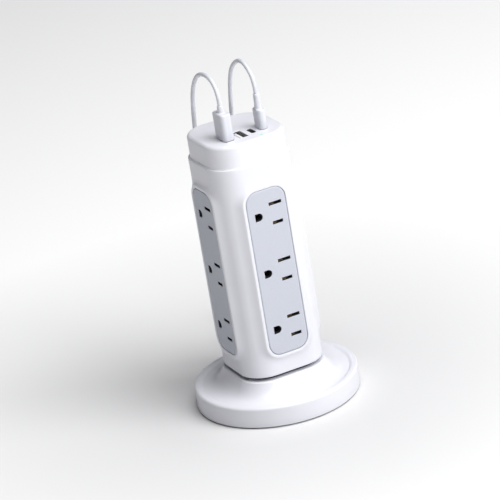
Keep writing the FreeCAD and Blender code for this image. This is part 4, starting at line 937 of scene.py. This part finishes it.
def make_cap():
    """The cap with its spigot, rounded top and openings, hollow underneath."""
    top, foot = CAP_HIGH.z, TOWER_HIGH.z
    inner = (SPIGOT_HALF - SPIGOT_WALL, SPIGOT_CORNER - SPIGOT_WALL)
    spigot = (SPIGOT_HALF, SPIGOT_CORNER)
    steps = [(*inner, top - CAP_THICK * MM), (*inner, CAP_LOW.z), (*spigot, CAP_LOW.z),
             (*spigot, foot + CAP_FOOT[0][1] * MM)]
    steps += [(CAP_HALF + flare, CAP_CORNER + flare, foot + height * MM) for flare, height in CAP_FOOT]
    steps += [(CAP_HALF - inset, CAP_CORNER - inset, top + (rise - CAP_ROUND) * MM)
              for inset, rise in fillet(CAP_ROUND, 0, 90, 10)]
    profile = [(half * MM, half * MM, corner * MM, height) for half, corner, height in steps]
    cap = finish_piece("cap_shell", stacked(profile, 160), "shell")
    carve(cap, port_cutters(), 0.15 * MM)
    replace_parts(cap, "top_cap")


def make_light_pipe():
    """The clear pipe that shows as the status light."""
    foot = (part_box("status_light")[0].z - CAP_HIGH.z) / MM
    pipe = turned([(LIGHT_SHOULDER, foot), *LIGHT_STEPS], 32, status_mouth())
    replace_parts(finish_piece("status_lens", pipe, "light_pipe"), "status_light")


def make_tongues():
    """The white tongues of the two USB-A sockets; the free one shows in its port."""
    low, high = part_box("usb_a_tongues")
    foot = low.z / MM
    half_x, half_y, tall = TONGUE_FOOT
    items = []
    for port, top in zip(PORTS_A, (high.z / MM, CAP_HIGH.z / MM - TONGUE_DROP)):
        items.append(((port - half_x, PORT_ROW - half_y, foot),
                      (port + half_x, PORT_ROW + half_y, foot + tall)))
        items.append(((port + TONGUE_BACK, PORT_ROW - TONGUE_HALF, foot + tall - 0.1),
                      (port + TONGUE_FACE, PORT_ROW + TONGUE_HALF, top)))
    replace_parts(boxes("usb_a_port_tongues", items, "port_tongue", 0.15), "usb_a_tongues")


def make_port_springs():
    """The spring fingers that grip a plug, just inside the mouth of the free USB-A port."""
    top, long = CAP_HIGH.z / MM - 0.9, 4.5
    items = []
    for along in (-3.4, 3.4):
        for aside in (-2.2, 2.0):
            x, y = PORTS_A[1] + aside, PORT_ROW + along
            items.append(((x - 0.12, y - 1.0, top - long), (x + 0.32, y + 1.0, top)))
    boxes("port_springs", items, "steel", 0.06)


def make_port_contacts():
    """The gilt contacts on the tongues of the free ports, four in USB-A and 24 in USB-C."""
    top = CAP_HIGH.z / MM - TONGUE_DROP
    face = PORTS_A[1] + TONGUE_FACE
    items = []
    for along in (-3.5, -1.1, 1.1, 3.5):
        y = PORT_ROW + along
        items.append(((face - 0.05, y - 0.5, top - 7.5), (face + 0.12, y + 0.5, top - 1.0)))
    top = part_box("usb_c_tongues")[1].z / MM
    pitch = 0.5
    for right in (-1, 1):
        face = PORTS_C[0] + right * 0.35
        for index in range(12):
            y = PORT_ROW + (index - 5.5) * pitch
            items.append(((face - 0.04, y - 0.13, top - 3.6), (face + 0.04, y + 0.13, top - 0.5)))
    boxes("port_contacts", items, "contact_brass", 0.02)


make_cap()
make_light_pipe()
make_tongues()
make_port_springs()
make_port_contacts()

# ----------------------------------------
# Base: cover, dark ring of painted shade in the neck gap, gland, reset button and feet
# ----------------------------------------

BASE_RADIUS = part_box("base_shell")[1].x / MM
BASE_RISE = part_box("base_shell")[0].z / MM
BASE_EDGE, BASE_WALL = 0.5, 2.4
RIM_HEIGHT, RIM_ROUND, RIM_FLAT = 14.2, 1.7, 1.6
DISH_WIDTH, DISH_DEPTH, DISH_STEPS = 2.4, 0.9, 8
# the rise from the dish to the pedestal starts flat and steepens with this power
RISE_POWER, RISE_STEPS = 3.4, 30
TOWER_FOOT = TOWER_LOW.z / MM
PEDESTAL_HALF, PEDESTAL_CORNER, PEDESTAL_ROUND = 29.4, 18.5, 1.5
PEDESTAL_TOP = TOWER_FOOT - 2.5
NECK_HALF, NECK_CORNER, NECK_EDGE = 24.6, 14.6, 0.4
WIRE_WAY = 9.0
SIDE_HEIGHT = 7.1
GLAND_ANGLE, GLAND_HOLE = 120.0, 4.55
BUTTON_ANGLE, BUTTON_HOLE = 25.0, 2.8
# (radius, distance from the base's side) along the gland's sleeve, before and after its ribs
GLAND_START = ((3.6, -5.8), (4.4, -5.8), (4.4, 0.4), (5.25, 0.4), (5.4, 0.55), (5.4, 1.5),
               (5.2, 1.75), (4.6, 1.8))
GLAND_RIB = ((4.1, 0.0), (4.1, 0.15), (4.4, 0.25), (4.4, 0.42))
GLAND_END = ((4.3, 3.55), (4.15, 3.6), (3.75, 3.6), (3.6, 3.45))
RIB_START, RIB_PITCH = 1.9, 0.5
# (radius, distance from the base's side) over the button's dished face
BUTTON_STEPS = ((2.2, -6.0), (2.7, -5.9), (2.7, 2.15), (2.62, 2.4), (2.42, 2.56), (2.15, 2.6),
                (1.8, 2.56), (1.2, 2.38), (0.5, 2.26), (0.1, 2.24))
# (radius, height) of a foot, with the ring in its sole
FOOT_STEPS = ((1.2, 0.25), (1.4, 0.0), (3.6, 0.0), (3.8, 0.25), (4.4, 0.25), (4.6, 0.0), (5.5, 0.0),
              (5.85, 0.12), (6.0, 0.45), (6.0, 1.8))
# how far the waist of the dark neck ring, painted shade for the gap, reaches up and down
SHADE_RING_WAIST = 0.2


def circle(radius, height):
    """A round ring of the base, in millimetres."""
    return ring((radius * MM,) * 3, height * MM, FINE_COUNT)


def square(half, corner, height):
    """A ring of the base with the tower's rounded square plan, in millimetres."""
    return ring((half * MM, half * MM, corner * MM), height * MM, FINE_COUNT)


def rise_rings(outside, edge):
    """Rings that rise from a round ring to a square one while their plan goes over."""
    for step in range(1, RISE_STEPS + 1):
        share = step / RISE_STEPS
        lift = share ** RISE_POWER
        points = []
        for a, b in zip(outside, edge):
            away = a.xy.length + (b.xy.length - a.xy.length) * share
            plan = a.xy.lerp(b.xy, share).normalized() * away
            points.append(Vector((*plan, a.z + (b.z - a.z) * lift)))
        yield points


def base_rings():
    """From the underside's inner edge over the rim, dish and rise to the wire way, and back."""
    dish = RIM_HEIGHT - DISH_DEPTH
    rings = [circle(BASE_RADIUS - BASE_WALL, BASE_RISE), circle(BASE_RADIUS - BASE_EDGE, BASE_RISE),
             circle(BASE_RADIUS - 0.14, BASE_RISE + 0.14), circle(BASE_RADIUS, BASE_RISE + BASE_EDGE),
             circle(BASE_RADIUS, 6.0)]
    for inset, rise in fillet(RIM_ROUND, 0, 90, 10):
        rings.append(circle(BASE_RADIUS - inset, RIM_HEIGHT - RIM_ROUND + rise))
    inner = BASE_RADIUS - RIM_ROUND - RIM_FLAT
    for step in range(DISH_STEPS + 1):
        share = step / DISH_STEPS
        rings.append(circle(inner - DISH_WIDTH * share, RIM_HEIGHT - DISH_DEPTH * eased(share)))
    edge = square(PEDESTAL_HALF - PEDESTAL_ROUND * 0.1, PEDESTAL_CORNER,
                  PEDESTAL_TOP - PEDESTAL_ROUND * 0.6)
    rings += rise_rings(circle(inner - DISH_WIDTH, dish), edge)
    for inset, rise in fillet(PEDESTAL_ROUND, 35, 90, 5):
        rings.append(square(PEDESTAL_HALF - inset, PEDESTAL_CORNER - inset,
                            PEDESTAL_TOP - PEDESTAL_ROUND + rise))
    rings += [square(NECK_HALF + NECK_EDGE, NECK_CORNER + NECK_EDGE, PEDESTAL_TOP),
              square(NECK_HALF, NECK_CORNER, PEDESTAL_TOP + NECK_EDGE),
              square(NECK_HALF, NECK_CORNER, TOWER_FOOT),
              circle(WIRE_WAY, TOWER_FOOT), circle(WIRE_WAY, PEDESTAL_TOP - BASE_WALL)]
    rings += [square(PEDESTAL_HALF - BASE_WALL, PEDESTAL_CORNER - BASE_WALL, height)
              for height in (PEDESTAL_TOP - BASE_WALL, dish - BASE_WALL)]
    return rings + [circle(BASE_RADIUS - BASE_WALL, dish - BASE_WALL), rings[0]]


def beside_base(angle):
    """The place of what points outwards through the base's side along a direction."""
    return Matrix.Translation((0, 0, SIDE_HEIGHT * MM)) @ upright(angle)


def side_hole(radius, angle):
    """A cutter through the base's wall."""
    return turned([(radius, BASE_RADIUS - 5), (radius, BASE_RADIUS + 5)], 48, beside_base(angle))


def make_base():
    """The base's cover with its two side holes."""
    work = bmesh.new()
    skin(work, base_rings())
    base = finish_piece("base_cover", work, "shell", sharp=40)
    holes = [side_hole(GLAND_HOLE, GLAND_ANGLE), side_hole(BUTTON_HOLE, BUTTON_ANGLE)]
    carve(base, holes, sharp=40)
    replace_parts(base, "base_shell")


def make_gap_shade_ring():
    """A dark ring round the neck, deep in the gap between the base and the tower: painted shade where
    the gap is only in shadow.
    """
    low, high = PEDESTAL_TOP + 0.45, TOWER_FOOT - 0.05
    waist = (low + high) / 2
    steps = ((0.05, low), (0.45, low), (0.6, low + 0.1), (0.6, waist - SHADE_RING_WAIST), (0.4, waist),
             (0.6, waist + SHADE_RING_WAIST), (0.6, high - 0.1), (0.45, high), (0.05, high), (0.05, low))
    work = bmesh.new()
    skin(work, [square(NECK_HALF + out, NECK_CORNER + out, height) for out, height in steps])
    # painted shade: a dark rubber ring that darkens the shadowed gap under the tower
    finish_piece("gap_shade_ring", work, "foot_rubber")


def make_gland():
    """A soft sleeve with three ribs, and a collar that seats on the wall."""
    steps = list(GLAND_START)
    for rib in range(3):
        steps += [(radius, RIB_START + rib * RIB_PITCH + along) for radius, along in GLAND_RIB]
    steps += [*GLAND_END, GLAND_START[0]]
    work = bmesh.new()
    skin(work, [ring((radius * MM,) * 3, (BASE_RADIUS + along) * MM, 64) for radius, along in steps])
    work.transform(beside_base(GLAND_ANGLE))
    finish_piece("gland_sleeve", work, "gland")


def make_button():
    """The round button with a dished face, which rides on its own body."""
    steps = [(radius, BASE_RADIUS + along) for radius, along in BUTTON_STEPS]
    finish_piece("button_face", turned(steps, 64, beside_base(BUTTON_ANGLE)), "button", "button")


def make_feet():
    """Four soft feet with rounded edges and a shallow ring in each sole."""
    low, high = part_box("rubber_feet")
    out = high.x - FOOT_STEPS[-1][0] * MM
    work = bmesh.new()
    for index in range(4):
        angle = index * math.pi / 2
        place = Matrix.Translation((out * math.cos(angle), out * math.sin(angle), low.z))
        foot = turned(FOOT_STEPS, 48, place)
        data = as_mesh("foot", foot)
        work.from_mesh(data)
        bpy.data.meshes.remove(data)
    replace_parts(finish_piece("soft_feet", work, "foot_rubber"), "rubber_feet")


make_base()
make_gap_shade_ring()
make_gland()
make_button()
make_feet()

# ----------------------------------------
# Floor and light
# ----------------------------------------

# the floor is painted darker near the object, a painted shade round it, and white further off
FLOOR_SHADE_NEAR, FLOOR_FAR = (0.7, 0.7, 0.705), (1.0, 1.0, 1.0)
# the floor pales between these distances from the axis
PALE_START, PALE_END = 0.08, 0.34
FLOOR_HALF = 4
SKY, SKY_STRENGTH = (0.93, 0.95, 1.0, 1), 0.05
LIT_POINT = Vector((0, 0, 0.09))
# (place, size, power) of the two soft lights
LIGHTS = {
    "key": ((1.35, -2.05, 1.7), 2.2, 58),
    "top": ((0.3, -0.95, 2.78), 2.3, 88),
}


def make_floor():
    """A wide floor with painted shade near the object, which grows paler away from it."""
    work = bmesh.new()
    bmesh.ops.create_grid(work, x_segments=1, y_segments=1, size=FLOOR_HALF)
    data = as_mesh("floor", work)
    look = Look("floor_painted_shade", FLOOR_FAR, 0.6, Specular_IOR_Level=0.2)
    look.colours(look.distance(), FLOOR_SHADE_NEAR, FLOOR_FAR, PALE_START, PALE_END)
    look.bump(look.noise(0.004, 2), 0.00002)
    data.materials.append(look.material)
    placed("floor", data)


def area_light(name, place, size, power):
    """A soft square white light that looks at the middle of the tower."""
    data = bpy.data.lights.new(name, "AREA")
    data.size = size
    data.energy = power
    light = placed(name, data)
    light.location = place
    light.rotation_euler = (LIT_POINT - Vector(place)).to_track_quat("-Z", "Y").to_euler()


def make_light():
    """Two area lights and a faint sky, shown with plain colours."""
    world = bpy.data.worlds.new("studio")
    world.use_nodes = True
    sky = world.node_tree.nodes["Background"]
    sky.inputs["Color"].default_value = SKY
    sky.inputs["Strength"].default_value = SKY_STRENGTH
    bpy.context.scene.world = world
    for name, (place, size, power) in LIGHTS.items():
        area_light(name, place, size, power)
    bpy.context.scene.view_settings.view_transform = "Standard"


make_floor()
make_light()
